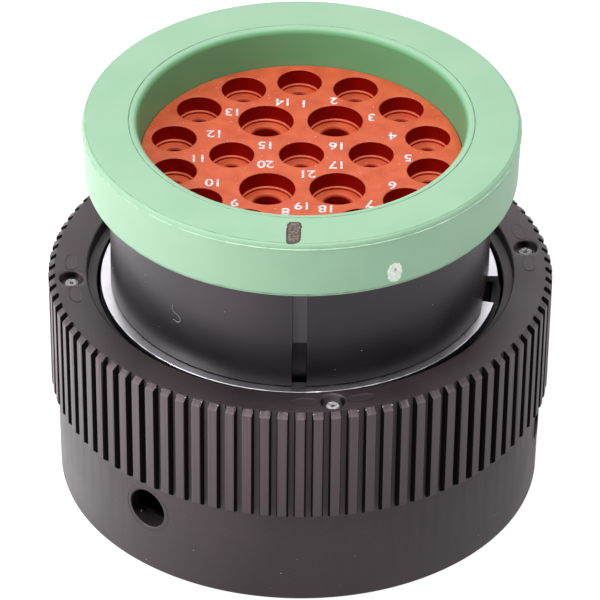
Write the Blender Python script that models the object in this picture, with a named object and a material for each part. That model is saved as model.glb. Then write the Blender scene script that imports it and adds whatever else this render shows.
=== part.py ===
"""Plug half of a heavy-duty circular connector: 21 cavities, ribbed bayonet coupling ring, ring adapter.

Blender 4.5, metres, +Z towards the wires. The plug stands on the mating edge of its coupling ring,
and the origin is the centre of that edge. Azimuths are in degrees from the front (-Y) towards +X.
Run with: blender --background --python part.py
"""

import math

import bmesh
import bpy
from mathutils import Matrix, Vector

MM = 0.001
FIT_GAP = 0.3 * MM  # clearance between pieces that touch
SLIP = 1.0 * MM  # how far a cutter runs past the face that it opens
ROUND_SEGMENTS = 48
SMALL_SEGMENTS = 36

# Contact cavities, whose sizes and webs set every radius outside them
OUTER_COUNT = 14
INNER_COUNT = 6
INNER_AZIMUTH = 30.0  # of the first inner cavity, from the back
CAVITY_TURN = 1.2  # of the whole pattern, in azimuth
LARGE_INNER = (0, 1, 3, 4)  # places on the inner circle, counted from the first
ENTRY_RADIUS = {"small": 2.5 * MM, "large": 3.1 * MM}
ENTRY_SEGMENTS = 16
CAVITY_SEGMENTS = 8
CENTRE_WEB = 2.25 * MM  # between the centre entry and the inner ones
CIRCLE_WEB = 1.25 * MM  # between the inner entries and the outer ones
RIM_WEB = 1.0 * MM  # from the outer entries to the grommet's edge

# Plug shell
SHELL_FRONT = 1.6 * MM
BARREL_WALL = 1.9 * MM
BARREL_EDGE = 0.4 * MM
NECK_WALL = 2.6 * MM
NECK_SHOWN = 12.5 * MM  # from the coupling ring's rear face up
SHOULDER_HEIGHT = 10.0 * MM
SHOULDER_DEPTH = 1.0 * MM
FLANGE_THICKNESS = 2.4 * MM
KEY_ANGLES = (0.0, 58.0, 131.0, 229.0, 302.0)
MASTER_KEY_WIDTH = 3.0 * MM
KEY_WIDTH = 1.8 * MM
KEY_HEIGHT = 0.9 * MM
KEY_START = 0.7 * MM  # from the barrel's front edge
KEY_SETBACK = 2.2 * MM  # from the seal
CHANNEL_COUNT = 2
CHANNEL_WIDTH = 1.65 * MM
CHANNEL_DEPTH = 0.3 * MM
SLOT_DEPTH = 1.8 * MM
SLOT_SHOWN = 4.65 * MM
SLOT_SLOPE = 0.2 * MM  # height of the slope from the slot up to the channel
FLAT_AZIMUTH = 83.0
FLAT_WIDTH = 12.0 * MM  # of the block that cuts it, wider than the flat
FLAT_DEPTH = 0.45 * MM  # at the retaining ring
FLAT_RUNOUT = 0.3 * MM  # depth left under the adapter
SPIGOT_STEP = 1.2 * MM
SPIGOT_HEIGHT = 2.4 * MM

# Coupling ring, outside
RING_HEIGHT = 26.6 * MM
RECEPTACLE_SPACE = 4.0 * MM  # between the barrel and the ring's bore
SKIRT_WALL = 2.85 * MM
SKIRT_DRAFT = 0.3 * MM
SKIRT_EDGE = 0.35 * MM
RIB_PITCH = 2.0 * MM  # round the ribs' tips
RIB_TURN = 0.4  # azimuth of the middle of the first rib
RIB_HEIGHT = 0.8 * MM
RIB_TIP_WIDTH = 1.08 * MM
RIB_FLANK = 0.15 * MM  # that each side gains from the tip to the foot
RIB_TIP_DRAFT = 0.2 * MM
RIB_CREST = 0.15 * MM  # left of the rib's height where its chamfer meets the rear face
RIB_CHAMFER_HEIGHT = 0.55 * MM
RIB_RUNOUT = 0.5 * MM
RIB_BOTTOM = 12.0 * MM
GROOVE_STEP = 0.15 * MM  # of the grooves' floors outside the skirt

# Coupling ring, inside
WEB_THICKNESS = 2.7 * MM
MOUTH_LEDGE = 1.4 * MM  # width of the ledge round the washers
MOUTH_DEPTH = 1.5 * MM
MOUTH_EDGE = 0.25 * MM
RAMP_COUNT = 3
RAMP_DEPTH = 1.4 * MM
RAMP_WIDTH = 3.4 * MM
RAMP_START = 1.0 * MM  # height of the track's lower side at the entry
RAMP_TURN = 74.0  # from the middle of the entry to the hole
RAMP_STEPS = 9
ENTRY_WIDTH = 3.8 * MM
VIEW_HOLE_AZIMUTH = -38.0
VIEW_HOLE_RADIUS = 2.4 * MM
VIEW_HOLE_CHAMFER = 0.25 * MM
VIEW_HOLE_DROP = 3.65 * MM  # from the ribs' lower ends to the hole's middle

# Moulding gates in the rear face of the coupling ring
GATE_COUNT = 4
GATE_AZIMUTH = 8.0
GATE_RADIUS = 1.4 * MM
GATE_DEPTH = 0.75 * MM
GATE_NUB_RADIUS = 0.75 * MM
GATE_NUB_HEIGHT = 0.3 * MM
GATE_SEGMENTS = 10

# Ring adapter
ADAPTER_HEIGHT = 7.45 * MM
ADAPTER_WIDTH = 6.15 * MM
ADAPTER_LIP = 0.5 * MM  # how far it reaches in over the shell's bore
ADAPTER_DRAFT = 0.25 * MM
ADAPTER_EDGE = 0.5 * MM
ADAPTER_FOOT_EDGE = 0.85 * MM
ADAPTER_EDGE_STEPS = 3
MOULD_LINE_HEIGHT = 0.12 * MM
MOULD_LINE_PROUD = 0.08 * MM

# Rear grommet
GROMMET_THICKNESS = 8.1 * MM
GROMMET_STAND = 0.6 * MM  # above the shell's rear end
GROMMET_ENTRY_DEPTH = 2.0 * MM
GROMMET_LIP_RADIUS = {"small": 0.85 * MM, "large": 1.55 * MM}

# Hard inserts and the clips that they hold
FRONT_INSERT_FACE = 3.2 * MM
FRONT_INSERT_TOP = 16.0 * MM
SOCKET_RADIUS = {"small": 1.15 * MM, "large": 1.6 * MM}
CONTACT_RADIUS = {"small": 1.35 * MM, "large": 1.95 * MM}
CLIP_RADIUS = {"small": 2.05 * MM, "large": 2.6 * MM}
CLIP_LENGTH = 5.4 * MM
CLIP_WALL = 0.25 * MM
CLIP_TAPER = 0.45 * MM
CLIP_SLIT = 0.9 * MM
CLIP_STEPS = 6

# Seal, washers and retaining ring
SEAL_THICKNESS = 1.5 * MM
SEAL_SETBACK = 0.8 * MM  # from the flange's edge
SEAL_BEVEL = 0.4 * MM
WASHER_WIDTH = 0.95 * MM
THRUST_THICKNESS = 0.5 * MM
WAVE_THICKNESS = 0.35 * MM
WAVE_RISE = 0.4 * MM
WAVE_COUNT = 5
WAVE_STEPS = 40
RETAINER_DROP = 1.15 * MM  # below the coupling ring's rear face
RETAINER_THICKNESS = 0.8 * MM
RETAINER_SEAT = 0.85 * MM  # how deep it sits in the neck
RETAINER_GAP_AZIMUTH = 84.0
RETAINER_GAP_ANGLE = 13.0

# Heights that follow, from the coupling ring's rear face down
RETAINER_TOP = RING_HEIGHT - RETAINER_DROP
RETAINER_BOTTOM = RETAINER_TOP - RETAINER_THICKNESS
WAVE_MIDDLE = RETAINER_BOTTOM - FIT_GAP - WAVE_RISE - WAVE_THICKNESS / 2
THRUST_TOP = WAVE_MIDDLE - WAVE_RISE - WAVE_THICKNESS / 2 - FIT_GAP
THRUST_BOTTOM = THRUST_TOP - THRUST_THICKNESS
WEB_TOP = THRUST_BOTTOM - FIT_GAP
WEB_BOTTOM = WEB_TOP - WEB_THICKNESS
FLANGE_TOP = WEB_BOTTOM - FIT_GAP
FLANGE_BOTTOM = FLANGE_TOP - FLANGE_THICKNESS
SEAL_TOP = FLANGE_BOTTOM - FIT_GAP
SEAL_BOTTOM = SEAL_TOP - SEAL_THICKNESS
VIEW_HOLE_HEIGHT = RIB_BOTTOM - VIEW_HOLE_DROP

# Heights that follow, from the coupling ring's rear face up, and inside the shell
NECK_TOP = RING_HEIGHT + NECK_SHOWN
ADAPTER_BOTTOM = NECK_TOP + FIT_GAP
SPIGOT_TOP = NECK_TOP + SPIGOT_HEIGHT
ADAPTER_LIP_BOTTOM = SPIGOT_TOP + FIT_GAP
GROMMET_FACE = SPIGOT_TOP + GROMMET_STAND
GROMMET_BOTTOM = GROMMET_FACE - GROMMET_THICKNESS
REAR_INSERT_TOP = GROMMET_BOTTOM - FIT_GAP
REAR_INSERT_BOTTOM = FRONT_INSERT_TOP + FIT_GAP

# Radii that follow, from the centre out
INNER_CIRCLE = ENTRY_RADIUS["small"] + CENTRE_WEB + ENTRY_RADIUS["large"]
OUTER_CIRCLE = INNER_CIRCLE + ENTRY_RADIUS["large"] + CIRCLE_WEB + ENTRY_RADIUS["small"]
GROMMET_RIM_RADIUS = OUTER_CIRCLE + ENTRY_RADIUS["small"] + RIM_WEB
ADAPTER_BORE_RADIUS = GROMMET_RIM_RADIUS + FIT_GAP
SHELL_BORE_RADIUS = ADAPTER_BORE_RADIUS + ADAPTER_LIP
INSERT_RADIUS = SHELL_BORE_RADIUS - FIT_GAP
SHOULDER_RADIUS = SHELL_BORE_RADIUS - SHOULDER_DEPTH
BARREL_RADIUS = SHELL_BORE_RADIUS + BARREL_WALL
NECK_RADIUS = SHELL_BORE_RADIUS + NECK_WALL
SPIGOT_RADIUS = NECK_RADIUS - SPIGOT_STEP
ADAPTER_RADIUS = ADAPTER_BORE_RADIUS + ADAPTER_WIDTH
WASHER_BORE_RADIUS = NECK_RADIUS + FIT_GAP
WASHER_RADIUS = WASHER_BORE_RADIUS + WASHER_WIDTH
RETAINER_RADIUS = NECK_RADIUS - RETAINER_SEAT
POCKET_RADIUS = WASHER_RADIUS + FIT_GAP
MOUTH_RADIUS = WASHER_RADIUS + MOUTH_LEDGE
RING_BORE_RADIUS = BARREL_RADIUS + RECEPTACLE_SPACE
FLANGE_RADIUS = RING_BORE_RADIUS - 2 * FIT_GAP
SEAL_RADIUS = FLANGE_RADIUS - SEAL_SETBACK
SKIRT_RADIUS = RING_BORE_RADIUS + SKIRT_WALL
GROOVE_RADIUS = SKIRT_RADIUS + GROOVE_STEP
RIB_TIP_RADIUS = GROOVE_RADIUS + RIB_HEIGHT
RIB_COUNT = round(2 * math.pi * RIB_TIP_RADIUS / RIB_PITCH)
GATE_CIRCLE = (MOUTH_RADIUS + GROOVE_RADIUS) / 2


def clear_scene():
    for old in list(bpy.data.objects):
        bpy.data.objects.remove(old, do_unlink=True)


def angle_of(azimuth):
    """Blender's angle about +Z, from +X, of an azimuth in degrees from the front."""
    return math.radians(azimuth - 90)


def place(radius, azimuth, height=0.0):
    angle = angle_of(azimuth)
    return Vector((radius * math.cos(angle), radius * math.sin(angle), height))


def material(name, colour, roughness, metallic=0.0):
    made = bpy.data.materials.new(name)
    made.use_nodes = True
    shader = made.node_tree.nodes["Principled BSDF"]
    shader.inputs["Base Color"].default_value = (*colour, 1)
    shader.inputs["Roughness"].default_value = roughness
    shader.inputs["Metallic"].default_value = metallic
    return made


def finished(name, bm, look=None):
    """Turns a bmesh into a named object, with round faces smooth and edges sharp."""
    bmesh.ops.recalc_face_normals(bm, faces=bm.faces)
    mesh = bpy.data.meshes.new(name)
    bm.to_mesh(mesh)
    bm.free()
    mesh.shade_smooth()
    mesh.set_sharp_from_angle(angle=math.radians(30))
    made = bpy.data.objects.new(name, mesh)
    bpy.context.collection.objects.link(made)
    if look:
        mesh.materials.append(look)
    return made


def combine(target, tool, operation):
    """Adds a Boolean that cuts or joins the hidden tool."""
    tool.hide_render = True
    tool.display_type = "WIRE"
    modifier = target.modifiers.new(operation.title(), "BOOLEAN")
    modifier.solver = "EXACT"
    modifier.operation = operation
    modifier.object = tool


def turn(bm, outline, segments, centre=(0.0, 0.0), capped=False, span=360.0, start=0.0):
    """Spins an outline of (radius, height) points about a vertical axis through centre.

    A capped outline is open, and its two ends become flat faces. Any other outline is closed, and
    leaves a hole along the axis. A span under a full turn ends in flat faces too.
    """
    others = set(bm.verts)
    points = [bm.verts.new((radius, 0, height)) for radius, height in outline]
    pairs = list(zip(points, points[1:])) + ([] if capped else [(points[-1], points[0])])
    edges = [bm.edges.new(pair) for pair in pairs]
    whole = span == 360.0
    bmesh.ops.spin(
        bm,
        geom=points + edges + ([] if whole else [bm.faces.new(points)]),
        axis=(0, 0, 1),
        cent=(0, 0, 0),
        angle=math.radians(span),
        steps=segments,
        use_merge=whole,
    )
    made = [vertex for vertex in bm.verts if vertex not in others]
    if capped:
        rims = {edge for vertex in made for edge in vertex.link_edges if edge.is_boundary}
        bmesh.ops.holes_fill(bm, edges=list(rims), sides=0)
    bmesh.ops.rotate(bm, verts=made, matrix=Matrix.Rotation(math.radians(start), 3, "Z"))
    bmesh.ops.translate(bm, verts=made, vec=(*centre, 0))


def turned(name, outline, segments, look=None, **how):
    bm = bmesh.new()
    turn(bm, outline, segments, **how)
    return finished(name, bm, look)


def box(bm, low, high, turn_by):
    """A block between two corners, turned about +Z to an azimuth."""
    made = bmesh.ops.create_cube(bm, size=1)["verts"]
    size = [b - a for a, b in zip(low, high)]
    middle = [(a + b) / 2 for a, b in zip(low, high)]
    bmesh.ops.scale(bm, verts=made, vec=size)
    bmesh.ops.translate(bm, verts=made, vec=middle)
    bmesh.ops.rotate(bm, verts=made, matrix=Matrix.Rotation(angle_of(turn_by), 3, "Z"))


def cavities():
    """(number, size, azimuth, radius) of each cavity, from the back of the outer circle inwards."""
    found = []
    for index in range(OUTER_COUNT):
        azimuth = 180 + CAVITY_TURN - index * 360 / OUTER_COUNT
        found.append(("small", azimuth, OUTER_CIRCLE))
    for index in range(INNER_COUNT):
        azimuth = 180 + CAVITY_TURN + INNER_AZIMUTH - index * 360 / INNER_COUNT
        found.append(("large" if index in LARGE_INNER else "small", azimuth, INNER_CIRCLE))
    found.append(("small", 0.0, 0.0))
    return [(number, *cavity) for number, cavity in enumerate(found, 1)]


def cavity_cutter(name, outline_for, segments):
    """One hidden mesh that holds a turned cutter at each cavity."""
    bm = bmesh.new()
    for _number, size, azimuth, radius in cavities():
        turn(bm, outline_for(size), segments, place(radius, azimuth)[:2], capped=True)
    return finished(name, bm)


def ribbed_loops():
    """(height, points) of the coupling ring's outside, four points a rib, from the skirt up."""
    pitch = 2 * math.pi / RIB_COUNT
    tip_half = RIB_TIP_WIDTH / RIB_TIP_RADIUS / 2
    foot_half = tip_half + RIB_FLANK / GROOVE_RADIUS
    rib_top = RING_HEIGHT - RIB_CHAMFER_HEIGHT
    groove_low = GROOVE_RADIUS - RIB_TIP_DRAFT
    levels = (
        (RIB_BOTTOM, SKIRT_RADIUS, SKIRT_RADIUS),
        (RIB_BOTTOM + RIB_RUNOUT, RIB_TIP_RADIUS - RIB_TIP_DRAFT, groove_low),
        (rib_top, RIB_TIP_RADIUS, GROOVE_RADIUS),
        (RING_HEIGHT, GROOVE_RADIUS + RIB_CREST, GROOVE_RADIUS),
    )
    loops = []
    for height, tip, foot in levels:
        points = []
        for rib in range(RIB_COUNT):
            middle = angle_of(RIB_TURN) + rib * pitch
            for offset, radius in (
                (-foot_half, foot),
                (-tip_half, tip),
                (tip_half, tip),
                (foot_half, foot),
            ):
                angle = middle + offset
                points.append((radius * math.cos(angle), radius * math.sin(angle), height))
        loops.append(points)
    return loops


def ring_blank(look):
    """The coupling ring's outside as a solid: plain skirt below, ribs above."""
    bm = bmesh.new()
    pitch = 2 * math.pi / RIB_COUNT
    skirt = []
    for radius, height in (
        (SKIRT_RADIUS - SKIRT_DRAFT - SKIRT_EDGE, 0.0),
        (SKIRT_RADIUS - SKIRT_DRAFT, SKIRT_EDGE),
    ):
        angles = [angle_of(RIB_TURN) + (rib - 0.5) * pitch for rib in range(RIB_COUNT)]
        skirt.append(
            [bm.verts.new((radius * math.cos(a), radius * math.sin(a), height)) for a in angles]
        )
    ribbed = [[bm.verts.new(point) for point in loop] for loop in ribbed_loops()]
    bm.faces.new(skirt[0][::-1])
    bm.faces.new(ribbed[-1])
    for rib in range(RIB_COUNT):
        after = (rib + 1) % RIB_COUNT
        bm.faces.new((skirt[0][rib], skirt[0][after], skirt[1][after], skirt[1][rib]))
        upper = [ribbed[0][(4 * rib + step) % (4 * RIB_COUNT)] for step in range(-1, 4)]
        bm.faces.new((skirt[1][rib], skirt[1][after], *upper[::-1]))
    count = len(ribbed[0])
    for lower, upper in zip(ribbed, ribbed[1:]):
        for index in range(count):
            after = (index + 1) % count
            bm.faces.new((lower[index], lower[after], upper[after], upper[index]))
    return finished("coupling_ring", bm, look)


def ring_bore_outlines():
    """The stepped hole through the coupling ring: the part that shows from behind, and the rest."""
    mouth_floor = RING_HEIGHT - MOUTH_DEPTH
    rear = (
        (POCKET_RADIUS, WEB_TOP),
        (POCKET_RADIUS, mouth_floor),
        (MOUTH_RADIUS, mouth_floor),
        (MOUTH_RADIUS, RING_HEIGHT - MOUTH_EDGE),
        (MOUTH_RADIUS + MOUTH_EDGE, RING_HEIGHT),
        (MOUTH_RADIUS + MOUTH_EDGE, RING_HEIGHT + SLIP),
    )
    front = (
        (RING_BORE_RADIUS, -SLIP),
        (RING_BORE_RADIUS, WEB_BOTTOM),
        (WASHER_BORE_RADIUS, WEB_BOTTOM),
        (WASHER_BORE_RADIUS, WEB_TOP + SLIP / 2),
    )
    return rear, front


def block_along(bm, sections):
    """A closed solid through four-sided sections, one after another."""
    loops = [[bm.verts.new(point) for point in section] for section in sections]
    for lower, upper in zip(loops, loops[1:]):
        for side in range(4):
            bm.faces.new((lower[side], lower[side - 1], upper[side - 1], upper[side]))
    bm.faces.new(loops[0])
    bm.faces.new(loops[-1][::-1])


def track_section(azimuth, low, high):
    corners = (
        (RING_BORE_RADIUS - SLIP, low),
        (RING_BORE_RADIUS + RAMP_DEPTH, low),
        (RING_BORE_RADIUS + RAMP_DEPTH, high),
        (RING_BORE_RADIUS - SLIP, high),
    )
    return [place(radius, azimuth, height) for radius, height in corners]


def bayonet_cutters():
    """The bayonet tracks in the bore: straight entries at the edge, and helices up to the holes."""
    entries = bmesh.new()
    tracks = bmesh.new()
    entry_half = math.degrees(ENTRY_WIDTH / 2 / RING_BORE_RADIUS)
    for index in range(RAMP_COUNT):
        end = VIEW_HOLE_AZIMUTH + index * 360 / RAMP_COUNT
        start = end - RAMP_TURN
        entry = [
            track_section(start + side * entry_half, -SLIP, RAMP_START + RAMP_WIDTH)
            for side in (-1, 0, 1)
        ]
        block_along(entries, entry)
        sections = []
        for step in range(RAMP_STEPS + 1):
            share = step / RAMP_STEPS
            low = RAMP_START + share * (VIEW_HOLE_HEIGHT - RAMP_WIDTH / 2 - RAMP_START)
            sections.append(track_section(start + share * RAMP_TURN, low, low + RAMP_WIDTH))
        block_along(tracks, sections)
    return finished("ramp_entries", entries), finished("ramp_tracks", tracks)


def view_hole_cutter():
    """Round holes through the skirt at the ends of the tracks, chamfered outside."""
    bm = bmesh.new()
    wide = VIEW_HOLE_RADIUS + VIEW_HOLE_CHAMFER
    outline = (
        (VIEW_HOLE_RADIUS, RING_BORE_RADIUS),
        (VIEW_HOLE_RADIUS, SKIRT_RADIUS - VIEW_HOLE_CHAMFER),
        (wide, SKIRT_RADIUS),
        (wide, SKIRT_RADIUS + SLIP),
    )
    for index in range(RAMP_COUNT):
        others = set(bm.verts)
        turn(bm, outline, ENTRY_SEGMENTS, capped=True)
        made = [vertex for vertex in bm.verts if vertex not in others]
        azimuth = VIEW_HOLE_AZIMUTH + index * 360 / RAMP_COUNT
        aim = Matrix.Rotation(angle_of(azimuth), 3, "Z") @ Matrix.Rotation(math.pi / 2, 3, "Y")
        bmesh.ops.rotate(bm, verts=made, matrix=aim)
        bmesh.ops.translate(bm, verts=made, vec=(0, 0, VIEW_HOLE_HEIGHT))
    return finished("view_holes", bm)


def gate_cutter():
    """Dimples in the rear face, each leaving a small nub where the plastic was broken off."""
    floor = RING_HEIGHT - GATE_DEPTH
    outline = (
        (GATE_NUB_RADIUS, floor + GATE_NUB_HEIGHT),
        (GATE_NUB_RADIUS, floor),
        (GATE_RADIUS, floor),
        (GATE_RADIUS, RING_HEIGHT + SLIP),
    )
    bm = bmesh.new()
    for index in range(GATE_COUNT):
        azimuth = GATE_AZIMUTH + index * 360 / GATE_COUNT
        turn(bm, outline, GATE_SEGMENTS, place(GATE_CIRCLE, azimuth)[:2], capped=True)
    return finished("gate_dimples", bm)


def coupling_ring(look):
    ring = ring_blank(look)
    rear, front = ring_bore_outlines()
    combine(ring, turned("ring_rear_bore", rear, ROUND_SEGMENTS, capped=True), "DIFFERENCE")
    combine(ring, turned("ring_front_bore", front, SMALL_SEGMENTS, capped=True), "DIFFERENCE")
    entries, tracks = bayonet_cutters()
    for tool in (entries, tracks, view_hole_cutter(), gate_cutter()):
        combine(ring, tool, "DIFFERENCE")
    return ring


def neck_cutter(name, width, levels, azimuths):
    """Blocks that cut the neck down to (depth, height) levels, one at each azimuth."""
    bm = bmesh.new()
    half = width / 2
    outer = NECK_RADIUS + SLIP
    for azimuth in azimuths:
        others = set(bm.verts)
        sections = []
        for depth, height in levels:
            inner = NECK_RADIUS - depth
            corners = ((inner, -half), (outer, -half), (outer, half), (inner, half))
            sections.append([(x, y, height) for x, y in corners])
        block_along(bm, sections)
        made = [vertex for vertex in bm.verts if vertex not in others]
        bmesh.ops.rotate(bm, verts=made, matrix=Matrix.Rotation(angle_of(azimuth), 3, "Z"))
    return finished(name, bm)


def neck_cutters():
    """Channels down the neck, each ending in a deep slot, and a flat over the retaining ring's gap."""
    slot_top = RING_HEIGHT + SLOT_SHOWN
    channel = (
        (SLOT_DEPTH, RETAINER_TOP),
        (SLOT_DEPTH, slot_top),
        (CHANNEL_DEPTH, slot_top + SLOT_SLOPE),
        (CHANNEL_DEPTH, NECK_TOP + SLIP),
    )
    flat = (
        (FLAT_DEPTH, RETAINER_BOTTOM),
        (FLAT_RUNOUT, NECK_TOP + SLIP),
    )
    around = [index * 360 / CHANNEL_COUNT for index in range(CHANNEL_COUNT)]
    return (
        neck_cutter("channels", CHANNEL_WIDTH, channel, around),
        neck_cutter("neck_flat", FLAT_WIDTH, flat, [FLAT_AZIMUTH]),
    )


def plug_shell(look):
    """The body moulding: keyed barrel in front, flange, grooved neck and the adapter's spigot."""
    groove_low = RETAINER_BOTTOM - FIT_GAP
    groove_high = RETAINER_TOP + FIT_GAP
    outline = (
        (SHOULDER_RADIUS, SHELL_FRONT),
        (BARREL_RADIUS - BARREL_EDGE, SHELL_FRONT),
        (BARREL_RADIUS, SHELL_FRONT + BARREL_EDGE),
        (BARREL_RADIUS, FLANGE_BOTTOM),
        (FLANGE_RADIUS, FLANGE_BOTTOM),
        (FLANGE_RADIUS, FLANGE_TOP),
        (NECK_RADIUS, FLANGE_TOP),
        (NECK_RADIUS, groove_low),
        (RETAINER_RADIUS - FIT_GAP, groove_low),
        (RETAINER_RADIUS - FIT_GAP, groove_high),
        (NECK_RADIUS, groove_high),
        (NECK_RADIUS, NECK_TOP),
        (SPIGOT_RADIUS, NECK_TOP),
        (SPIGOT_RADIUS, SPIGOT_TOP),
        (SHELL_BORE_RADIUS, SPIGOT_TOP),
        (SHELL_BORE_RADIUS, SHOULDER_HEIGHT),
        (SHOULDER_RADIUS, SHOULDER_HEIGHT),
    )
    shell = turned("plug_shell", outline, ROUND_SEGMENTS, look)
    keys = bmesh.new()
    for azimuth in KEY_ANGLES:
        half = (MASTER_KEY_WIDTH if azimuth == KEY_ANGLES[0] else KEY_WIDTH) / 2
        box(
            keys,
            (BARREL_RADIUS - KEY_HEIGHT, -half, SHELL_FRONT + KEY_START),
            (BARREL_RADIUS + KEY_HEIGHT, half, SEAL_BOTTOM - KEY_SETBACK),
            azimuth,
        )
    combine(shell, finished("barrel_keys", keys), "UNION")
    for tool in neck_cutters():
        combine(shell, tool, "DIFFERENCE")
    return shell


def rounded_corner(radius, height, edge, first):
    """Points on a quarter round of the adapter's edge, about a centre, from an angle on."""
    points = []
    for step in range(ADAPTER_EDGE_STEPS + 1):
        angle = math.radians(first + 90 * step / ADAPTER_EDGE_STEPS)
        points.append((radius + edge * math.cos(angle), height + edge * math.sin(angle)))
    return points


def ring_adapter(look):
    """The flanged ring pushed over the spigot, with a fine mould line round its rear edge."""
    top = ADAPTER_BOTTOM + ADAPTER_HEIGHT
    edge_height = top - ADAPTER_EDGE
    socket_radius = SPIGOT_RADIUS + FIT_GAP
    foot_radius = ADAPTER_RADIUS - ADAPTER_DRAFT - ADAPTER_FOOT_EDGE
    foot_height = ADAPTER_BOTTOM + ADAPTER_FOOT_EDGE
    foot_edge = rounded_corner(foot_radius, foot_height, ADAPTER_FOOT_EDGE, -90)
    outer_edge = rounded_corner(ADAPTER_RADIUS - ADAPTER_EDGE, edge_height, ADAPTER_EDGE, 0)
    inner_edge = rounded_corner(ADAPTER_BORE_RADIUS + ADAPTER_EDGE, edge_height, ADAPTER_EDGE, 90)
    outline = (
        (socket_radius, ADAPTER_BOTTOM),
        *foot_edge,
        (ADAPTER_RADIUS, edge_height - MOULD_LINE_HEIGHT),
        (ADAPTER_RADIUS + MOULD_LINE_PROUD, edge_height - MOULD_LINE_HEIGHT / 2),
        *outer_edge,
        *inner_edge,
        (ADAPTER_BORE_RADIUS, ADAPTER_LIP_BOTTOM),
        (socket_radius, ADAPTER_LIP_BOTTOM),
    )
    return turned("ring_adapter", outline, ROUND_SEGMENTS, look)


def rear_grommet(look):
    """Silicone wire seal: each cavity is a wide entry over a tight sealing lip."""
    outline = (
        (INSERT_RADIUS, GROMMET_BOTTOM),
        (INSERT_RADIUS, SPIGOT_TOP),
        (GROMMET_RIM_RADIUS, SPIGOT_TOP),
        (GROMMET_RIM_RADIUS, GROMMET_FACE),
    )
    grommet = turned("rear_grommet", outline, SMALL_SEGMENTS, look, capped=True)

    def entry(size):
        radius = ENTRY_RADIUS[size]
        return (radius, GROMMET_FACE - GROMMET_ENTRY_DEPTH), (radius, GROMMET_FACE + SLIP)

    def lip(size):
        radius = GROMMET_LIP_RADIUS[size]
        return (radius, GROMMET_BOTTOM - SLIP), (radius, GROMMET_FACE - GROMMET_ENTRY_DEPTH / 2)

    combine(grommet, cavity_cutter("grommet_entries", entry, ENTRY_SEGMENTS), "DIFFERENCE")
    combine(grommet, cavity_cutter("grommet_lips", lip, CAVITY_SEGMENTS), "DIFFERENCE")
    return grommet


def rear_insert(look):
    """Hard insulator with a stepped cavity for each contact and its clip."""
    outline = ((INSERT_RADIUS, REAR_INSERT_BOTTOM), (INSERT_RADIUS, REAR_INSERT_TOP))
    insert = turned("rear_insert", outline, SMALL_SEGMENTS, look, capped=True)

    def cavity(size):
        pocket = CLIP_RADIUS[size] + FIT_GAP
        pocket_top = REAR_INSERT_BOTTOM + CLIP_LENGTH + FIT_GAP
        return (
            (pocket, REAR_INSERT_BOTTOM - SLIP),
            (pocket, pocket_top),
            (CONTACT_RADIUS[size], pocket_top),
            (CONTACT_RADIUS[size], REAR_INSERT_TOP + SLIP),
        )

    combine(insert, cavity_cutter("rear_cavities", cavity, CAVITY_SEGMENTS), "DIFFERENCE")
    return insert


def front_insert(look):
    """Hard insulator at the mating face, stopped by the shell's shoulder."""
    shoulder = SHOULDER_HEIGHT + FIT_GAP
    outline = (
        (SHOULDER_RADIUS - FIT_GAP, FRONT_INSERT_FACE),
        (SHOULDER_RADIUS - FIT_GAP, shoulder),
        (INSERT_RADIUS, shoulder),
        (INSERT_RADIUS, FRONT_INSERT_TOP),
    )
    insert = turned("front_insert", outline, SMALL_SEGMENTS, look, capped=True)

    def socket(size):
        radius = SOCKET_RADIUS[size]
        return (radius, FRONT_INSERT_FACE - SLIP), (radius, FRONT_INSERT_TOP + SLIP)

    combine(insert, cavity_cutter("sockets", socket, CAVITY_SEGMENTS), "DIFFERENCE")
    return insert


def contact_clips(look):
    """A slit spring sleeve for each cavity, narrowed at its front end to hold the contact's collar."""
    for number, size, azimuth, radius in cavities():
        outer = CLIP_RADIUS[size]
        bottom = REAR_INSERT_BOTTOM
        top = bottom + CLIP_LENGTH
        bend = bottom + CLIP_LENGTH / 2
        outline = (
            (outer - CLIP_TAPER, bottom),
            (outer, bend),
            (outer, top),
            (outer - CLIP_WALL, top),
            (outer - CLIP_WALL, bend),
            (outer - CLIP_TAPER - CLIP_WALL, bottom),
        )
        slit = math.degrees(CLIP_SLIT / outer)
        turned(
            f"contact_clip_{number:02d}",
            outline,
            CLIP_STEPS,
            look,
            centre=place(radius, azimuth)[:2],
            span=360 - slit,
            start=slit / 2,
        )


def peripheral_seal(look):
    """Silicone ring that lies on the flange's front face, with bevelled front edges."""
    bore = BARREL_RADIUS + FIT_GAP
    outline = (
        (bore, SEAL_BOTTOM + SEAL_BEVEL),
        (bore + SEAL_BEVEL, SEAL_BOTTOM),
        (SEAL_RADIUS - SEAL_BEVEL, SEAL_BOTTOM),
        (SEAL_RADIUS, SEAL_BOTTOM + SEAL_BEVEL),
        (SEAL_RADIUS, SEAL_TOP),
        (bore, SEAL_TOP),
    )
    return turned("peripheral_seal", outline, SMALL_SEGMENTS, look)


def thrust_washer(look):
    outline = (
        (WASHER_BORE_RADIUS, THRUST_BOTTOM),
        (WASHER_RADIUS, THRUST_BOTTOM),
        (WASHER_RADIUS, THRUST_TOP),
        (WASHER_BORE_RADIUS, THRUST_TOP),
    )
    return turned("thrust_washer", outline, SMALL_SEGMENTS, look)


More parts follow.
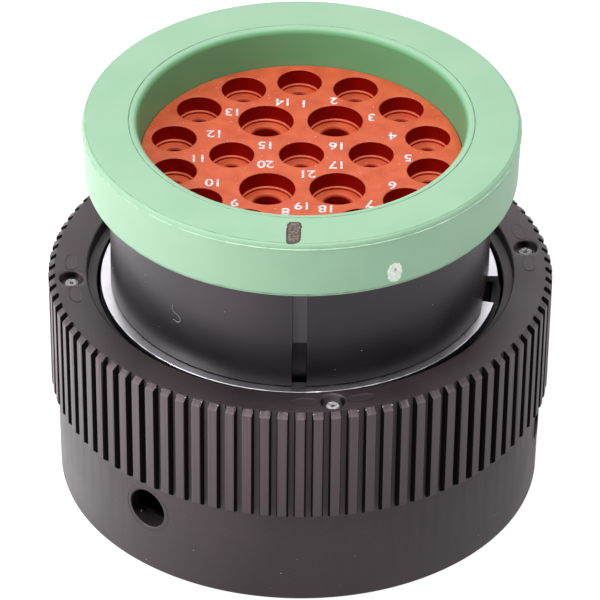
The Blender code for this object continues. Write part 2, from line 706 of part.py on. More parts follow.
def wave_washer(look):
    """Spring washer: a flat ring bent into even waves."""
    bm = bmesh.new()
    loops = []
    for step in range(WAVE_STEPS):
        azimuth = step * 360 / WAVE_STEPS
        middle = WAVE_MIDDLE + WAVE_RISE * math.cos(WAVE_COUNT * math.radians(azimuth))
        low = middle - WAVE_THICKNESS / 2
        high = middle + WAVE_THICKNESS / 2
        corners = (
            (WASHER_BORE_RADIUS, low),
            (WASHER_RADIUS, low),
            (WASHER_RADIUS, high),
            (WASHER_BORE_RADIUS, high),
        )
        loops.append([bm.verts.new(place(radius, azimuth, height)) for radius, height in corners])
    for index, loop in enumerate(loops):
        before = loops[index - 1]
        for side in range(4):
            bm.faces.new((before[side], before[side - 1], loop[side - 1], loop[side]))
    return finished("wave_washer", bm, look)


def retaining_ring(look):
    """Flat spring ring in the neck's groove, open on one side so that it can be sprung off."""
    outline = (
        (RETAINER_RADIUS, RETAINER_BOTTOM),
        (WASHER_RADIUS, RETAINER_BOTTOM),
        (WASHER_RADIUS, RETAINER_TOP),
        (RETAINER_RADIUS, RETAINER_TOP),
    )
    return turned(
        "retaining_ring",
        outline,
        SMALL_SEGMENTS,
        look,
        span=360 - RETAINER_GAP_ANGLE,
        start=RETAINER_GAP_AZIMUTH - 90 + RETAINER_GAP_ANGLE / 2,
    )


def main():
    clear_scene()
    ring_black = material("coupling_ring_black", (0.035, 0.032, 0.035), 0.55)
    shell_black = material("shell_black", (0.028, 0.026, 0.028), 0.45)
    mint = material("adapter_mint", (0.4, 0.72, 0.52), 0.5)
    silicone = material("silicone_red", (0.6, 0.09, 0.03), 0.6)
    insulator = material("insulator_grey", (0.06, 0.06, 0.06), 0.6)
    steel = material("spring_steel", (0.75, 0.74, 0.73), 0.3, 1.0)
    copper = material("clip_copper", (0.75, 0.5, 0.3), 0.35, 1.0)
    coupling_ring(ring_black)
    plug_shell(shell_black)
    ring_adapter(mint)
    rear_grommet(silicone)
    rear_insert(insulator)
    front_insert(insulator)
    contact_clips(copper)
    peripheral_seal(silicone)
    thrust_washer(steel)
    wave_washer(steel)
    retaining_ring(steel)


main()
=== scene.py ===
# %% [markdown]
# # The plug half of a ribbed bayonet connector
#
# The object is a heavy-duty circular plug, standing on its mating edge with the wire end up. A black
# ring with 90 grip ribs turns on a black shell, a mint ring sits on the shell's rear end, and red
# silicone seals 21 wires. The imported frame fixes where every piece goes. This notebook remodels the
# pieces that show, with the rounded edges and marks of the real mouldings, and gives all of them their
# finish.

# %% Load the fixed frame
import math
import random

import bmesh
import bpy
from mathutils import Matrix, Vector


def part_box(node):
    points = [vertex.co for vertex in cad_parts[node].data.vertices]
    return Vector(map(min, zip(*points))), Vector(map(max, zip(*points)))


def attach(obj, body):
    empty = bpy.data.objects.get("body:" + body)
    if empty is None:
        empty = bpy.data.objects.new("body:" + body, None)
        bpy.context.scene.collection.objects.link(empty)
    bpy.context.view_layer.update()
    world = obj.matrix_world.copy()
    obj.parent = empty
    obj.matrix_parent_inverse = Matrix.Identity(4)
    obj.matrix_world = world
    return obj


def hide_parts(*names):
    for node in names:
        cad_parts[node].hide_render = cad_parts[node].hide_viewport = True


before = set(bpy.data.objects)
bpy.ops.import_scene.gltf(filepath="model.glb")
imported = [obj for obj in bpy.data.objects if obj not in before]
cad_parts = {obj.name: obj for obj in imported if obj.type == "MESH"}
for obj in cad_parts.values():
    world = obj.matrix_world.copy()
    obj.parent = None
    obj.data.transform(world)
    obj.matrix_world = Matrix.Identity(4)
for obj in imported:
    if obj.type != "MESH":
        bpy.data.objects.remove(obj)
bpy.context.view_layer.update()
MM = 0.001

# %% [markdown]
# ## Small tools
#
# Every piece here starts as a primitive and is shaped in edit mode. Lists of points would make the same
# meshes, but operators are what one does by hand, so each step can be tried in Blender's window. They act
# on whatever is selected, and the loaded frame is selected to begin with, so each piece starts from an
# empty selection, and `pick` selects faces, edges or points by where they are.


# %% Selecting by place
def deselect():
    bpy.ops.object.select_all(action="DESELECT")


def choose(*pieces):
    deselect()
    for piece in pieces:
        piece.select_set(True)
    bpy.context.view_layer.objects.active = pieces[0]


def pick(test, kind="FACE"):
    """In edit mode, selects what the test accepts, given the middle of each face, edge or point."""
    bpy.ops.mesh.select_mode(type=kind)
    bpy.ops.mesh.select_all(action="DESELECT")
    mesh = bmesh.from_edit_mesh(bpy.context.edit_object.data)
    if kind == "VERT":
        for vert in mesh.verts:
            vert.select_set(test(vert.co))
    elif kind == "EDGE":
        for edge in mesh.edges:
            edge.select_set(test(edge.verts[0].co, edge.verts[1].co))
    else:
        for face in mesh.faces:
            face.select_set(test(face.calc_center_median()))
    mesh.select_flush_mode()
    bmesh.update_edit_mesh(bpy.context.edit_object.data)


def radius_of(point):
    return math.hypot(point.x, point.y)


def azimuth_of(point):
    """Degrees from the front (-Y) towards +X."""
    return math.degrees(math.atan2(point.x, -point.y))


def place(radius, azimuth, height):
    angle = math.radians(azimuth)
    return Vector((radius * math.sin(angle), -radius * math.cos(angle), height))


# %% [markdown]
# Most pieces are turned: a mould or a lathe made them round one axis. `filleted` rounds the corners of
# an outline, and `turned` draws a circle and extrudes it from point to point of that outline, which is
# how one would build a vase by hand. A Screw modifier could turn the outline too, but here each circle
# keeps its own height and radius, which the ribs and the channels rely on.


# %% Turning an outline
WELD = 0.0005 * MM


def filleted(corners, steps=4, solid=False):
    """Rounds the corners, given as (radius, height, fillet), of a closed outline or of a solid's side."""
    outline = []
    ends = [(0, corners[-1][1]), (0, corners[0][1])] if solid else [corners[-1][:2], corners[0][:2]]
    for index, (radius, height, fillet) in enumerate(corners):
        here = Vector((radius, height))
        if not fillet:
            outline.append((radius, height))
            continue
        last_point = corners[index - 1][:2] if index else ends[1 if solid else 0]
        next_point = corners[index + 1][:2] if index + 1 < len(corners) else ends[0 if solid else 1]
        before = (Vector(last_point) - here).normalized()
        after = (Vector(next_point) - here).normalized()
        half = before.angle(after) / 2
        centre = here + (before + after).normalized() * fillet / math.sin(half)
        first = here + before * fillet / math.tan(half) - centre
        last = here + after * fillet / math.tan(half) - centre
        start = math.atan2(first.y, first.x)
        sweep = (math.atan2(last.y, last.x) - start + math.pi) % (2 * math.pi) - math.pi
        for step in range(steps + 1):
            angle = start + sweep * step / steps
            outline.append((centre.x + fillet * math.cos(angle), centre.y + fillet * math.sin(angle)))
    return outline


def turned(name, outline, segments, solid=False, turn=0.0):
    """A circle extruded along an outline of (radius, height): a closed ring, or a solid with two ends."""
    deselect()
    radius, height = outline[0]
    bpy.ops.mesh.primitive_circle_add(
        vertices=segments,
        radius=radius,
        fill_type="NGON" if solid else "NOTHING",
        location=(0, 0, height),
        rotation=(0, 0, math.radians(turn)),
    )
    piece = bpy.context.object
    piece.name = name
    bpy.ops.object.transform_apply(location=True, rotation=True, scale=True)
    bpy.ops.object.mode_set(mode="EDIT")
    bpy.ops.mesh.select_mode(type="EDGE")
    bpy.ops.mesh.select_all(action="SELECT")
    points = list(outline) + ([] if solid else [outline[0]])
    for (inner, low), (outer, high) in zip(points, points[1:]):
        bpy.ops.mesh.extrude_region_move(TRANSFORM_OT_translate={"value": (0, 0, high - low)})
        bpy.ops.transform.resize(value=(outer / inner, outer / inner, 1), center_override=(0, 0, 0))
    bpy.ops.mesh.select_all(action="SELECT")
    bpy.ops.mesh.remove_doubles(threshold=WELD)
    bpy.ops.mesh.normals_make_consistent(inside=False)
    bpy.ops.object.mode_set(mode="OBJECT")
    return piece


# %% [markdown]
# What repeats is modelled once, at the front, and copied round the axis. Holes and channels are cut by a
# Boolean with a solid of the shape that comes out, as a core makes them in a mould.


# %% Joining, copying and cutting
def joined(name, pieces):
    choose(*pieces)
    if len(pieces) > 1:
        bpy.ops.object.join()
    bpy.context.object.name = name
    return bpy.context.object


def moved_copy(piece, matrix):
    """A copy of a piece with its own mesh, moved by a matrix."""
    copy = piece.copy()
    copy.data = piece.data.copy()
    copy.data.transform(matrix)
    bpy.context.collection.objects.link(copy)
    return copy


def round_the_axis(name, piece, azimuths):
    """Copies of a piece modelled at azimuth 0, one at each azimuth, joined into one mesh."""
    turns = [Matrix.Rotation(math.radians(azimuth), 4, "Z") for azimuth in azimuths]
    copies = [moved_copy(piece, turn) for turn in turns]
    bpy.data.objects.remove(piece)
    return joined(name, copies)


def cut(piece, cutter, operation="DIFFERENCE"):
    """Applies a Boolean, and throws the cutter away."""
    modifier = piece.modifiers.new("Cut", "BOOLEAN")
    modifier.operation = operation
    modifier.object = cutter
    choose(piece)
    bpy.ops.object.modifier_apply(modifier=modifier.name)
    bpy.data.objects.remove(cutter)


def smooth(piece, angle=30):
    choose(piece)
    bpy.ops.object.shade_smooth_by_angle(angle=math.radians(angle))


# %% [markdown]
# ## The camera
#
# The photograph was taken from the front and 35 degrees above, with a long lens from about 0.8 m: the
# circles of the plug measure almost the same at the front and at the back. A camera could be placed by
# eye, but these values come from fitting the plug's circles to the photograph, which is closer. Its frame
# is a touch askew, which the camera's roll repeats.

# %% Place the camera
CAMERA_DISTANCE = 800 * MM
CAMERA_ELEVATION = math.radians(35.3)
CAMERA_TARGET = Vector((0, 0, 22.0 * MM))
CAMERA_ROLL = 0.0107
CAMERA_LENS = 420.2


def aimed(kind, name, data, position, target):
    """Adds a camera or lamp that looks at a point."""
    made = bpy.data.objects.new(name, data)
    made.location = position
    made.rotation_euler = (Vector(target) - Vector(position)).to_track_quat("-Z", "Y").to_euler()
    bpy.context.collection.objects.link(made)
    print(kind, name, "at", [round(value, 3) for value in position])
    return made


lens = bpy.data.cameras.new("photo_view")
lens.lens = CAMERA_LENS
lens.sensor_width = 36  # millimetres, as is the lens
lens.clip_end = 10
away = Vector((0, -math.cos(CAMERA_ELEVATION), math.sin(CAMERA_ELEVATION)))
camera = aimed("camera", "photo_view", lens, CAMERA_TARGET + away * CAMERA_DISTANCE, CAMERA_TARGET)
camera.rotation_euler.rotate_axis("Z", CAMERA_ROLL)
bpy.context.scene.camera = camera

# %% [markdown]
# ## Finishes
#
# Each finish starts from a Principled shader with the values of the real material, and its patterns read
# Object coordinates, so they stay on the piece when it turns. An image of each surface would do too, but
# noise in a shader has no seams and needs no files. One function turns the usual sRGB colour codes into the
# linear numbers that shaders use, and one adds a node with its settings and links.


# %% Colours
def colour(code):
    """Linear red, green, blue and alpha of an sRGB code such as b4e0c3."""
    parts = [int(code[start : start + 2], 16) / 255 for start in (0, 2, 4)]
    linear = [part / 12.92 if part <= 0.04045 else ((part + 0.055) / 1.055) ** 2.4 for part in parts]
    return (*linear, 1.0)


def grey(value):
    return (value, value, value, 1.0)


def tones(low, high):
    """The stops of a colour ramp that changes over the middle of a noise pattern."""
    return (0.3, low), (0.7, high)


# %% Nodes
def feed(node, *values, **named):
    """Fills a node's inputs, in their order or by name, with _ for a space in a name.

    A value is a number, a colour, a socket, or a node, which stands for its first output in use.
    """
    pairs = list(zip([socket for socket in node.inputs if socket.enabled], values))
    pairs += [(node.inputs[name.replace("_", " ")], value) for name, value in named.items()]
    for socket, value in pairs:
        if isinstance(value, bpy.types.Node):
            value = next(output for output in value.outputs if output.enabled)
        if isinstance(value, bpy.types.NodeSocket):
            node.id_data.links.new(value, socket)
        else:
            socket.default_value = value


def add(tree, kind, *values, stops=(), **named):
    """Adds a node. Capitalised names are its inputs, the others its settings, and stops are a ramp's."""
    node = tree.nodes.new("ShaderNode" + kind)
    for name, value in named.items():
        if name[0].islower():
            setattr(node, name, value)
    if stops:
        for element, (position, tone) in zip(node.color_ramp.elements, stops):
            element.position = position
            element.color = tone
    feed(node, *values, **{name: value for name, value in named.items() if name[0].isupper()})
    return node


def new_finish(name, **values):
    """A material with a Principled shader, its constant values set on the shader's own sockets."""
    material = bpy.data.materials.new(name)
    material.use_nodes = True
    tree = material.node_tree
    shader = tree.nodes["Principled BSDF"]
    feed(shader, **values)
    position = add(tree, "TexCoord").outputs["Object"]
    return material, tree, shader, position


def per_size(size):
    """The texture scale at which a pattern repeats about once in a size given in metres."""
    return 1 / size


def axis_distance(tree, position):
    flat = add(tree, "VectorMath", position, (1, 1, 0), operation="MULTIPLY")
    return add(tree, "VectorMath", flat, operation="LENGTH")


# %% [markdown]
# The mint ring is PBT, moulded in a satin mould: an even pale green, very slightly cloudy, with a soft
# sheen and a grain too fine to see. The grain is drawn at 0.25 mm, coarser than the real one. The wall
# inside is painted a darker, deeper green than the outside, as painted shade in the well. Two creases of
# the top, one near each edge, are darkened with painted shade: both are circles, so their lines follow the
# distance from the axis. The line of flash round the top is painted pale, as a painted highlight. The lines
# could be modelled as thin pieces instead, but a mask in the shader fades and breaks them up.

# %% Satin mint PBT
WALL_TO_TOP = (18.6 * MM, 18.9 * MM)
CREASE_RADIUS = 19.45 * MM
OUTER_CREASE = 24.35 * MM
FLASH_HEIGHT = 46.15 * MM
FLASH_FADE = (0.09 * MM, 0.03 * MM)
OUTER_WALL = (24 * MM, 24.5 * MM)


def mint_pbt():
    material, tree, shader, position = new_finish("satin_mint_pbt", Roughness=0.5, Specular_IOR_Level=0.35)
    cloud = add(tree, "TexNoise", Vector=position, Scale=per_size(6 * MM))
    tint = add(tree, "ValToRGB", cloud, stops=tones(colour("95bd9e"), colour("9cc2a4")))
    from_axis = axis_distance(tree, position)
    on_top = add(tree, "MapRange", from_axis, *WALL_TO_TOP)
    # Painted shade: the wall inside the well is given a darker, deeper green than the top.
    toned = add(tree, "Mix", on_top, colour("6eaa79"), tint, data_type="RGBA")
    # Painted shade: the two creases of the top are darkened, broken up by noise.
    line_breakup = add(tree, "TexNoise", Vector=position, Scale=per_size(1.5 * MM), Detail=3.0)
    for crease, half_width, low, high in (
        (CREASE_RADIUS, 0.08 * MM, 0.2, 0.6),
        (OUTER_CREASE, 0.07 * MM, 0.3, 0.7),
    ):
        beside = add(tree, "Math", from_axis, crease, operation="SUBTRACT")
        away = add(tree, "Math", beside, operation="ABSOLUTE")
        line = add(tree, "MapRange", away, half_width, half_width / 3)
        patchy = add(tree, "MapRange", line_breakup, low, high)
        crease_shade = add(tree, "Math", line, patchy, operation="MULTIPLY")
        toned = add(tree, "Mix", crease_shade, toned, colour("66886a"), data_type="RGBA")
    # Painted highlight: the flash line round the outer wall is painted pale, broken up by the same noise.
    height = add(tree, "SeparateXYZ", position).outputs["Z"]
    above = add(tree, "Math", height, FLASH_HEIGHT, operation="SUBTRACT")
    away = add(tree, "Math", above, operation="ABSOLUTE")
    line = add(tree, "MapRange", away, *FLASH_FADE)
    outside = add(tree, "MapRange", from_axis, *OUTER_WALL)
    band = add(tree, "Math", line, outside, operation="MULTIPLY")
    patchy = add(tree, "MapRange", line_breakup, 0.35, 0.65)
    pale = add(tree, "Math", band, patchy, operation="MULTIPLY")
    grain = add(tree, "TexNoise", Vector=position, Scale=per_size(0.25 * MM))
    feed(
        shader,
        Base_Color=add(tree, "Mix", pale, toned, colour("c8e6ce"), data_type="RGBA"),
        Normal=add(tree, "Bump", Height=grain, Distance=0.02 * MM, Strength=0.25),
    )
    return material


# %% [markdown]
# The wire seal is silicone rubber, pressed in a mould and a little dusty: an orange red on its face. The
# upright walls of the cavities are painted a deep red, as painted shade. The two could be two materials,
# but how far a face points up tells them apart, and it also fades one into the other on the rounded edges.


# %% Moulded red silicone
def red_silicone():
    material, tree, shader, position = new_finish("moulded_red_silicone", Roughness=0.55)
    cloud = add(tree, "TexNoise", Vector=position, Scale=per_size(2.2 * MM), Detail=4.0)
    tint = add(tree, "ValToRGB", cloud, stops=tones(colour("ba4a28"), colour("cc5e39")))
    fine = add(tree, "TexNoise", Vector=position, Scale=per_size(0.35 * MM), Detail=3.0)
    bloom = add(tree, "ValToRGB", fine, stops=((0.62, grey(0.0)), (0.74, grey(0.28))))
    dusted = add(tree, "Mix", bloom, tint, colour("e89880"), data_type="RGBA")
    facing = add(tree, "TexCoord").outputs["Normal"]
    upward = add(tree, "Math", add(tree, "SeparateXYZ", facing).outputs["Z"], operation="ABSOLUTE")
    flatness = add(tree, "MapRange", upward, 0.3, 0.85)
    grain = add(tree, "TexNoise", Vector=position, Scale=per_size(0.5 * MM), Detail=4.0)
    # Painted shade: the upright walls of the wells get a deep dark red, the upward faces the dusty orange red.
    feed(
        shader,
        Base_Color=add(tree, "Mix", flatness, colour("7e0500"), dusted, data_type="RGBA"),
        Specular_IOR_Level=add(tree, "MapRange", flatness, 0.0, 1.0, 0.05, 0.4),
        Normal=add(tree, "Bump", Height=grain, Distance=0.05 * MM, Strength=0.35),
    )
    return material


# %% [markdown]
# The coupling ring is glass-filled nylon, black with a warm cast. The mould leaves it matt, and handling
# rubs pale scuffs into it and greys the tips of the ribs. The inside, the walls of the holes and the flanks
# of the ribs are painted a dull black as painted shade; the flanks are found by how far a face turns
# sideways, the inside by its distance from the axis and its height. Painting a mask by hand would also
# tell them apart, but a rule holds for all 90 ribs at once.

# %% Glass-filled black nylon
RIB_TIPS = (28.3 * MM, 28.65 * MM)
SIDEWAYS = (0.55, 0.85)
INSIDE = (25.6 * MM, 25.2 * MM)
BELOW_THE_MOUTH = (24.9 * MM, 24.3 * MM)


def dull_where(tree, shader, in_shade, tint, gloss):
    """Shows a tint and a gloss, and a dull black of painted shade where a mask says the surface lies in shade.
    """
    feed(
        shader,
        Base_Color=add(tree, "Mix", in_shade, tint, colour("0a0809"), data_type="RGBA"),
        Roughness=add(tree, "Mix", in_shade, gloss, grey(0.95), data_type="RGBA"),
        Specular_IOR_Level=add(tree, "MapRange", in_shade, 0.0, 1.0, 0.5, 0.08),
    )


def ring_nylon():
    material, tree, shader, position = new_finish("glass_filled_black_nylon", Specular_Tint=colour("ffeef6"))
    cloud = add(tree, "TexNoise", Vector=position, Scale=per_size(9 * MM), Detail=3.0)
    tint = add(tree, "ValToRGB", cloud, stops=tones(colour("261f21"), colour("31292b")))
    fine = add(tree, "TexNoise", Vector=position, Scale=per_size(0.4 * MM), Detail=4.0, Roughness=0.7)
    scuff = add(tree, "ValToRGB", fine, stops=((0.6, grey(0.0)), (0.8, grey(0.4))))
    from_axis = axis_distance(tree, position)
    handled = add(tree, "MapRange", from_axis, *RIB_TIPS)
    rubbed = add(tree, "Mix", handled, tint, colour("4c4144"), data_type="RGBA")
    scuffed = add(tree, "Mix", scuff, rubbed, colour("6a5e62"), data_type="RGBA")
    # Painted shade: the flanks of the ribs and the bore below the mouth are masked for a dull black.
    flat = add(tree, "VectorMath", position, (1, 1, 0), operation="MULTIPLY")
    outward = add(tree, "VectorMath", flat, operation="NORMALIZE")
    facing = add(tree, "TexCoord").outputs["Normal"]
    turned_by = add(tree, "VectorMath", outward, facing, operation="CROSS_PRODUCT")
    turned_by = add(tree, "Math", add(tree, "SeparateXYZ", turned_by).outputs["Z"], operation="ABSOLUTE")
    flank = add(tree, "MapRange", turned_by, *SIDEWAYS)
    inside = add(tree, "MapRange", from_axis, *INSIDE)
    low = add(tree, "MapRange", add(tree, "SeparateXYZ", position).outputs["Z"], *BELOW_THE_MOUTH)
    bore = add(tree, "Math", inside, low, operation="MULTIPLY")
    in_shade = add(tree, "Math", flank, bore, operation="MAXIMUM")
    gloss = add(tree, "ValToRGB", cloud, stops=tones(grey(0.42), grey(0.56)))
    dull_where(tree, shader, in_shade, scuffed, gloss)
    feed(shader, Normal=add(tree, "Bump", Height=fine, Distance=0.05 * MM, Strength=0.3))
    return material


# %% [markdown]
# The shell is the same family of plastic with a closer, smoother skin. The floor of its channel is lighter.
# Below the steel ring it is painted a dull black, as painted shade.

# %% Smooth black shell plastic
CHANNEL_EDGE = (0.76 * MM, 0.84 * MM)
CHANNEL_FOOT = (31.4 * MM, 31.2 * MM)
BELOW_THE_NECK = (25.6 * MM, 25.5 * MM)


def shell_nylon():
    material, tree, shader, position = new_finish("smooth_black_shell_plastic", Specular_Tint=colour("ffeeff"))
    cloud = add(tree, "TexNoise", Vector=position, Scale=per_size(7 * MM), Detail=3.0)
    tint = add(tree, "ValToRGB", cloud, stops=tones(colour("181518"), colour("211d21")))
    places = add(tree, "SeparateXYZ", position)
    aside = add(tree, "Math", places.outputs["X"], operation="ABSOLUTE")
    beside = add(tree, "MapRange", aside, *CHANNEL_EDGE)
    under = add(tree, "MapRange", places.outputs["Z"], *CHANNEL_FOOT)
    off_channel = add(tree, "Math", beside, under, operation="MAXIMUM")
    toned = add(tree, "Mix", off_channel, colour("403c3e"), tint, data_type="RGBA")
    # Painted shade: below the neck the shell gets a dull black.
    in_shade = add(tree, "MapRange", places.outputs["Z"], *BELOW_THE_NECK)
    gloss = add(tree, "ValToRGB", cloud, stops=tones(grey(0.36), grey(0.46)))
    dull_where(tree, shader, in_shade, toned, gloss)
    grain = add(tree, "TexNoise", Vector=position, Scale=per_size(0.3 * MM), Detail=3.0)
    feed(shader, Normal=add(tree, "Bump", Height=grain, Distance=0.02 * MM, Strength=0.25))
    return material


# %% [markdown]
# The retaining ring is hardened spring steel, ground flat: bright, with fine marks that run round the
# ring. An anisotropic shader would stretch its highlights, but the export drops that value, so the marks
# are a bump instead: a noise in the distance from the axis alone, which makes circles. The washers under
# it are a dark grey with little shine.


# %% Ground and phosphated steel
def ground_steel():
    material, tree, shader, position = new_finish(
        "ground_spring_steel", Metallic=1.0, Base_Color=colour("c0bcc2")
    )
    lay = add(tree, "CombineXYZ", X=axis_distance(tree, position))
    marks = add(tree, "TexNoise", Vector=lay, Scale=per_size(0.12 * MM), Detail=3.0)
    cloud = add(tree, "TexNoise", Vector=position, Scale=per_size(1.5 * MM), Detail=3.0)
    feed(
        shader,
        Roughness=add(tree, "ValToRGB", cloud, stops=tones(grey(0.26), grey(0.38))),
        Normal=add(tree, "Bump", Height=marks, Distance=0.01 * MM, Strength=0.15),
    )
    return material


def phosphated_steel():
    material, tree, shader, position = new_finish("dark_washer_steel", Metallic=0.3)
    cloud = add(tree, "TexNoise", Vector=position, Scale=per_size(0.8 * MM), Detail=3.0)
    feed(
        shader,
        Base_Color=add(tree, "ValToRGB", cloud, stops=tones(colour("131314"), colour("1e1e20"))),
        Roughness=add(tree, "ValToRGB", cloud, stops=tones(grey(0.6), grey(0.75))),
    )
    return material


# %% [markdown]
# Two finishes serve the pieces deep inside: the hard insulator that holds the contacts, and the rolled
# copper alloy of their clips. The rest are rough, uneven colours, which one function makes: the white ink
# of the cavity numbers, dust, and the burnt and torn spots of the plastics.


# %% Insulator and copper
def insulator():
    material, tree, shader, position = new_finish("hard_grey_insulator", Roughness=0.5)
    cloud = add(tree, "TexNoise", Vector=position, Scale=per_size(5 * MM))
    grain = add(tree, "TexNoise", Vector=position, Scale=per_size(0.3 * MM))
    feed(
        shader,
        Base_Color=add(tree, "ValToRGB", cloud, stops=tones(colour("3c3c3e"), colour("48484a"))),
        Normal=add(tree, "Bump", Height=grain, Distance=0.02 * MM, Strength=0.3),
    )
    return material


def clip_copper():
    material, tree, shader, position = new_finish("rolled_clip_copper", Metallic=1.0)
    cloud = add(tree, "TexNoise", Vector=position, Scale=per_size(2 * MM))
    fine = add(tree, "TexNoise", Vector=position, Scale=per_size(0.4 * MM))
    feed(
        shader,
        Base_Color=add(tree, "ValToRGB", cloud, stops=tones(colour("b47a52"), colour("d29a6c"))),
        Roughness=add(tree, "ValToRGB", fine, stops=tones(grey(0.28), grey(0.45))),
    )
    return material


# %% Ink, dust and damaged plastic
def speckled(name, dark, light, size, roughness):
    """A rough, uneven colour: ink that wore, dust, or a burnt or torn spot of plastic."""
    material, tree, shader, position = new_finish(name, Roughness=roughness)
    patches = add(tree, "TexNoise", Vector=position, Scale=per_size(size), Detail=4.0, Roughness=0.65)
    feed(
        shader,
        Base_Color=add(tree, "ValToRGB", patches, stops=((0.38, colour(dark)), (0.62, colour(light)))),
        Normal=add(tree, "Bump", Height=patches, Distance=size / 4, Strength=0.5),
    )
    return material


MINT = mint_pbt()
SILICONE = red_silicone()
RING_NYLON = ring_nylon()
SHELL_NYLON = shell_nylon()
STEEL = ground_steel()
DARK_STEEL = phosphated_steel()
INSULATOR = insulator()
COPPER = clip_copper()
INK = speckled("worn_white_ink", "b4a8b2", "fff8f8", 0.35 * MM, 0.6)
DUST = speckled("pale_dust", "c8bcb8", "f4eeee", 0.2 * MM, 0.9)
BURNT = speckled("burnt_mint_plastic", "342b22", "7e7068", 0.35 * MM, 0.8)
CHARRED = speckled("charred_mint_plastic", "120e0a", "423a2e", 0.3 * MM, 0.8)
TORN_MINT = speckled("torn_mint_plastic", "d6e8d2", "fbfdf6", 0.4 * MM, 0.7)
TORN_BLACK = speckled("torn_black_plastic", "7c777c", "ccc8cc", 0.25 * MM, 0.6)
print("finishes:", [material.name for material in bpy.data.materials if material.use_nodes])

# %% [markdown]
# Every new piece ends the same way: it gets its finish and rides on the body that it is fixed to. A piece
# that stands for a imported node hides that node.


# %% Finishing a piece
def finish(piece, material, slot, body, *replaced):
    """Gives a piece its finish, lets it ride on its body and hides the nodes that it stands for."""
    piece.data.materials.clear()
    piece.data.materials.append(material)
    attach(piece, body)
    if replaced:
        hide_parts(*replaced)
    print(piece.name, len(piece.data.polygons), "faces")


# %% [markdown]
# ## The mint ring adapter
#
# It is pushed over the shell's rear end and keeps the wire seal in. Its rear edge is rounded inside and
# out. Where the two halves of the mould met, a thin line of flash stands out round it, and a finer
# crease runs just outside the inner edge. All of it is round, so it is turned in one go, and a Bevel
# modifier isn't needed: the outline has a fillet at each corner.

# %% Turn the adapter
ADAPTER_LOW, ADAPTER_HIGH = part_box("ring_adapter")
ADAPTER_TOP = ADAPTER_HIGH.z
ADAPTER_RADIUS = 24.65 * MM
ADAPTER_DRAFT = 0.25 * MM
ADAPTER_BORE = 18.5 * MM
BORE_FOOT = 18.22 * MM
FOOT_FILLET = 0.85 * MM
EDGE_FILLET = 0.4 * MM
MOUTH_FILLET = 0.75 * MM
ABOVE_THE_FLASH = 0.02 * MM
RIM_DRAFT = 0.05 * MM
SOCKET_RADIUS = 20.7 * MM
SEAL_LEDGE = 41.8 * MM
FLASH_PROUD = 0.08 * MM
FLASH_HALF = 0.06 * MM
CREASE_DEPTH = 0.09 * MM

adapter_outline = filleted(
    [
        (SOCKET_RADIUS, ADAPTER_LOW.z, 0),
        (ADAPTER_RADIUS - ADAPTER_DRAFT, ADAPTER_LOW.z, FOOT_FILLET),
        (ADAPTER_RADIUS, FLASH_HEIGHT - FLASH_HALF, 0),
        (ADAPTER_RADIUS + FLASH_PROUD, FLASH_HEIGHT, 0),
        (ADAPTER_RADIUS - ABOVE_THE_FLASH, FLASH_HEIGHT + FLASH_HALF, 0),
        (ADAPTER_RADIUS - RIM_DRAFT, ADAPTER_TOP, EDGE_FILLET),
        (CREASE_RADIUS + CREASE_DEPTH, ADAPTER_TOP, 0),
        (CREASE_RADIUS, ADAPTER_TOP - CREASE_DEPTH, 0),
        (CREASE_RADIUS - CREASE_DEPTH, ADAPTER_TOP, 0),
        (ADAPTER_BORE, ADAPTER_TOP, MOUTH_FILLET),
        (BORE_FOOT, SEAL_LEDGE, 0),
        (SOCKET_RADIUS, SEAL_LEDGE, 0),
    ],
    steps=6,
)
adapter = turned("mint_adapter_ring", adapter_outline, 256)
smooth(adapter)
finish(adapter, MINT, "adapter_plastic", "plug_body", "ring_adapter")

# %% [markdown]
# ## The wire seal
#
# A silicone disc with 21 cavities, 17 small ones and 4 large, on two circles and the middle. Each is a
# straight well with a rounded floor and a tight bore in its middle. The wells could be inset and extruded
# out of the disc's face, but that needs a grid of faces that fits all of them. So the cutter of one well
# is turned from its outline, copied to every place, and cut out of the disc.

# %% Where the cavities are
SEAL_LOW, SEAL_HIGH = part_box("rear_grommet")
SEAL_FACE = SEAL_HIGH.z
OUTER_CIRCLE = 14.7 * MM
INNER_CIRCLE = 7.85 * MM
OUTER_COUNT = 14
INNER_COUNT = 6
CAVITY_TURN = 1.2
OUTER_START = 180 + CAVITY_TURN
INNER_START = 210 + CAVITY_TURN
LARGE_INNER = (0, 1, 3, 4)


def cavities():
    """(size, azimuth, radius) of every cavity, clockwise from the back on each circle."""
    found = []
    for k in range(OUTER_COUNT):
        found.append(("small", OUTER_START - k * 360 / OUTER_COUNT, OUTER_CIRCLE))
    for k in range(INNER_COUNT):
        size = "large" if k in LARGE_INNER else "small"
        found.append((size, INNER_START - k * 360 / INNER_COUNT, INNER_CIRCLE))
    return found + [("small", 0.0, 0.0)]


print(len(cavities()), "cavities")


# %% Cut the wells
WELL_RADIUS = {"small": 2.5 * MM, "large": 3.1 * MM}
BORE_RADIUS = {"small": 0.85 * MM, "large": 1.55 * MM}
WELL_DEPTH = 1.85 * MM
SEAL_EDGE = 18.16 * MM
SEAL_BODY = 18.7 * MM
SEAL_STEP = 41.5 * MM


